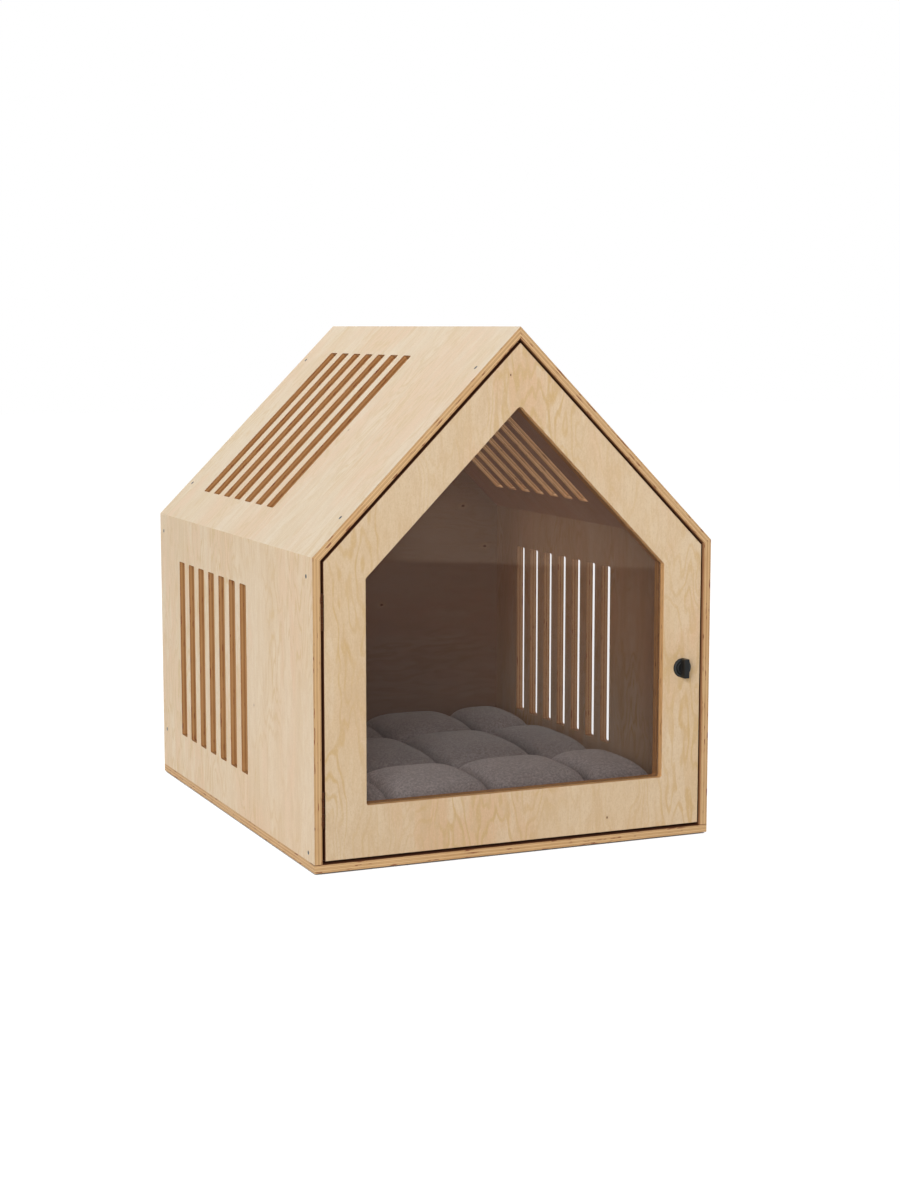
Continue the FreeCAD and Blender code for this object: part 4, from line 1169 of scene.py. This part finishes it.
class DOGHOUSE_OT_stage(bpy.types.Operator):
    """Sets up the floor, the soft light and the camera"""

    bl_idname = "doghouse.stage"
    bl_label = "Stage"

    def execute(self, context):
        settings = context.scene.dog_house_stage
        floor = self.floor()
        card = self.mirrored_card()
        lamps = (
            self.lamp("front_lamp", (-4.6, -6.4, 2.6), size=4.5, energy=settings.front_energy),
            self.lamp("top_lamp", (-0.3, 2.2, 3.7), size=2.4, energy=settings.top_energy),
        )
        self.world(context, settings)
        camera = self.camera(context, settings)
        context.scene.view_settings.view_transform = "Standard"
        return {"FINISHED"}

    def floor(self):
        """A plain pale floor, white like the background. It keeps the lamps' shadow, and its white
        glow fades into a painted contact shadow under the house.
        """
        deselect()
        bpy.ops.mesh.primitive_plane_add(size=30, location=(0, 0, 0))
        floor = bpy.context.object
        floor.name = "studio_floor"
        finish = material("studio_floor")
        plain = finish.result("ShaderNodeBsdfDiffuse", Color=scaled(WHITE, 0.85))
        dim = finish.result("ShaderNodeBsdfDiffuse", Color=scaled(WHITE, 0.2))
        # painted shadow: the white glow fades where ambient occlusion finds the house near
        above = finish.node("ShaderNodeAmbientOcclusion", {"samples": 8}, {"Distance": 0.03})
        level = finish.wire(above, "AO").smooth(0.1, 0.4, 0.02, 0.965)
        white = finish.result("ShaderNodeEmission", Color=WHITE, Strength=level)
        shown = finish.wire(finish.node("ShaderNodeAddShader", None, {0: dim, 1: white}))
        shader = finish.between(background_rays(finish), plain, shown)
        floor.data.materials.append(finish.surface(shader))
        return floor

    def mirrored_card(self):
        """A card flat in front of the house, which only mirrored rays see: a painted reflection in
        the window. The lower part of the window mirrors its dark near end, a painted dark
        reflection that keeps it clear. Further out the card glows, though it is no lamp, which
        shows as a painted haze in the upper part, strongest at its edge and to the right."""
        deselect()
        bpy.ops.mesh.primitive_plane_add(size=1, location=(0, 0, 0))
        card = bpy.context.object
        card.name = "mirrored_card"
        lift = 0.004
        corners = ((6.0, -25.0), (22.0, -25.0), (-0.36, -0.385), (3.2, -0.385))
        for vertex, (x, y) in zip(card.data.vertices, corners):
            vertex.co = (x, y, lift)
        for rays in ("camera", "diffuse", "shadow", "transmission"):
            setattr(card, "visible_" + rays, False)
        finish = material("mirrored_card")
        # where the camera sees a point of the card in the window: across and height
        x, y, _ = finish.axes(finish.coordinate("Object"))
        window = FRONT + PANE_INSET
        reach = window - EYE[1]
        share = reach / (window + reach - y)
        across = (x - EYE[0]) * share + EYE[0]
        height = EYE[2] - share * (EYE[2] - lift)
        edge_height, edge_slope = 0.4127, 0.073
        above = height + across * edge_slope - edge_height
        # painted reflection: the card glows only for mirrored rays, past an edge across the window
        painted_haze = above.smooth(0.0, 0.007) * across.smooth(-0.24, -0.12, 0.1, 1.0)
        fading = above.smooth(0.05, 0.13, 0.82, 0.42)
        glow = finish.result("ShaderNodeEmission", Color=WHITE, Strength=painted_haze * fading)
        card.data.materials.append(finish.surface(glow))
        return card

    def lamp(self, name, place, size, energy):
        """A large square lamp that faces the middle of the house."""
        middle = Vector((0, 0, 0.35))
        deselect()
        bpy.ops.object.light_add(type="AREA", location=place)
        lamp = bpy.context.object
        lamp.name = name
        lamp.rotation_euler = (middle - Vector(place)).to_track_quat("-Z", "Y").to_euler()
        lamp.data.shape = "SQUARE"
        lamp.data.size = size
        lamp.data.energy = energy
        lamp.visible_glossy = False
        return lamp

    def world(self, context, settings):
        """White to the camera and in reflections, and a softer white as light."""
        world = bpy.data.worlds.new("studio")
        finish = Finish(world)
        soft = finish.result("ShaderNodeBackground", Color=WHITE, Strength=settings.ambient)
        white = finish.result("ShaderNodeBackground", Color=WHITE, Strength=1.0)
        shader = finish.between(background_rays(finish), soft, white)
        context.scene.world = finish.surface(shader)

    def camera(self, context, settings):
        """The camera of the photograph: where it stood, how far it looked down and to the right."""
        down, right = 7.3746, 23.4337
        deselect()
        bpy.ops.object.camera_add(
            location=EYE, rotation=(math.radians(90 - down), 0, math.radians(-right))
        )
        camera = bpy.context.object
        camera.name = "photo_camera"
        camera.data.sensor_width = 36
        camera.data.sensor_fit = "AUTO"
        camera.data.lens = settings.lens
        context.scene.camera = camera
        return camera


class DOGHOUSE_PT_sidebar(bpy.types.Panel):
    """Lists the steps that dress the dog house, and their sizes and colours"""

    bl_idname = "DOGHOUSE_PT_sidebar"
    bl_label = "Dog House"
    bl_space_type = "VIEW_3D"
    bl_region_type = "UI"
    bl_category = "Dog House"

    def draw(self, context):
        for group, steps in LISTED.items():
            box = self.layout.box()
            settings = getattr(context.scene, group)
            for name in GROUPS[group].__annotations__:
                box.prop(settings, name)
            for step in steps:
                box.operator(step.bl_idname)


LISTED = {
    "dog_house_wood": (DOGHOUSE_OT_plywood_panels,),
    "dog_house_pane": (DOGHOUSE_OT_window_pane,),
    "dog_house_mattress": (DOGHOUSE_OT_mattress,),
    "dog_house_fittings": (
        DOGHOUSE_OT_latch,
        DOGHOUSE_OT_hinges,
        DOGHOUSE_OT_screws,
        DOGHOUSE_OT_rubber_parts,
    ),
    "dog_house_stage": (DOGHOUSE_OT_stage,),
}
STEPS = tuple(step for steps in LISTED.values() for step in steps)


def register():
    for group in GROUPS.values():
        bpy.utils.register_class(group)
    for step in STEPS:
        bpy.utils.register_class(step)
    bpy.utils.register_class(DOGHOUSE_PT_sidebar)
    for name, group in GROUPS.items():
        setattr(bpy.types.Scene, name, bpy.props.PointerProperty(type=group))


def unregister():
    for name in GROUPS:
        delattr(bpy.types.Scene, name)
    bpy.utils.unregister_class(DOGHOUSE_PT_sidebar)
    for step in reversed(STEPS):
        bpy.utils.unregister_class(step)
    for group in reversed(list(GROUPS.values())):
        bpy.utils.unregister_class(group)


def main():
    register()
    bpy.ops.doghouse.plywood_panels()
    bpy.ops.doghouse.window_pane()
    bpy.ops.doghouse.mattress()
    bpy.ops.doghouse.latch()
    bpy.ops.doghouse.hinges()
    bpy.ops.doghouse.screws()
    bpy.ops.doghouse.rubber_parts()
    bpy.ops.doghouse.stage()


if __name__ == "__main__":
    main()
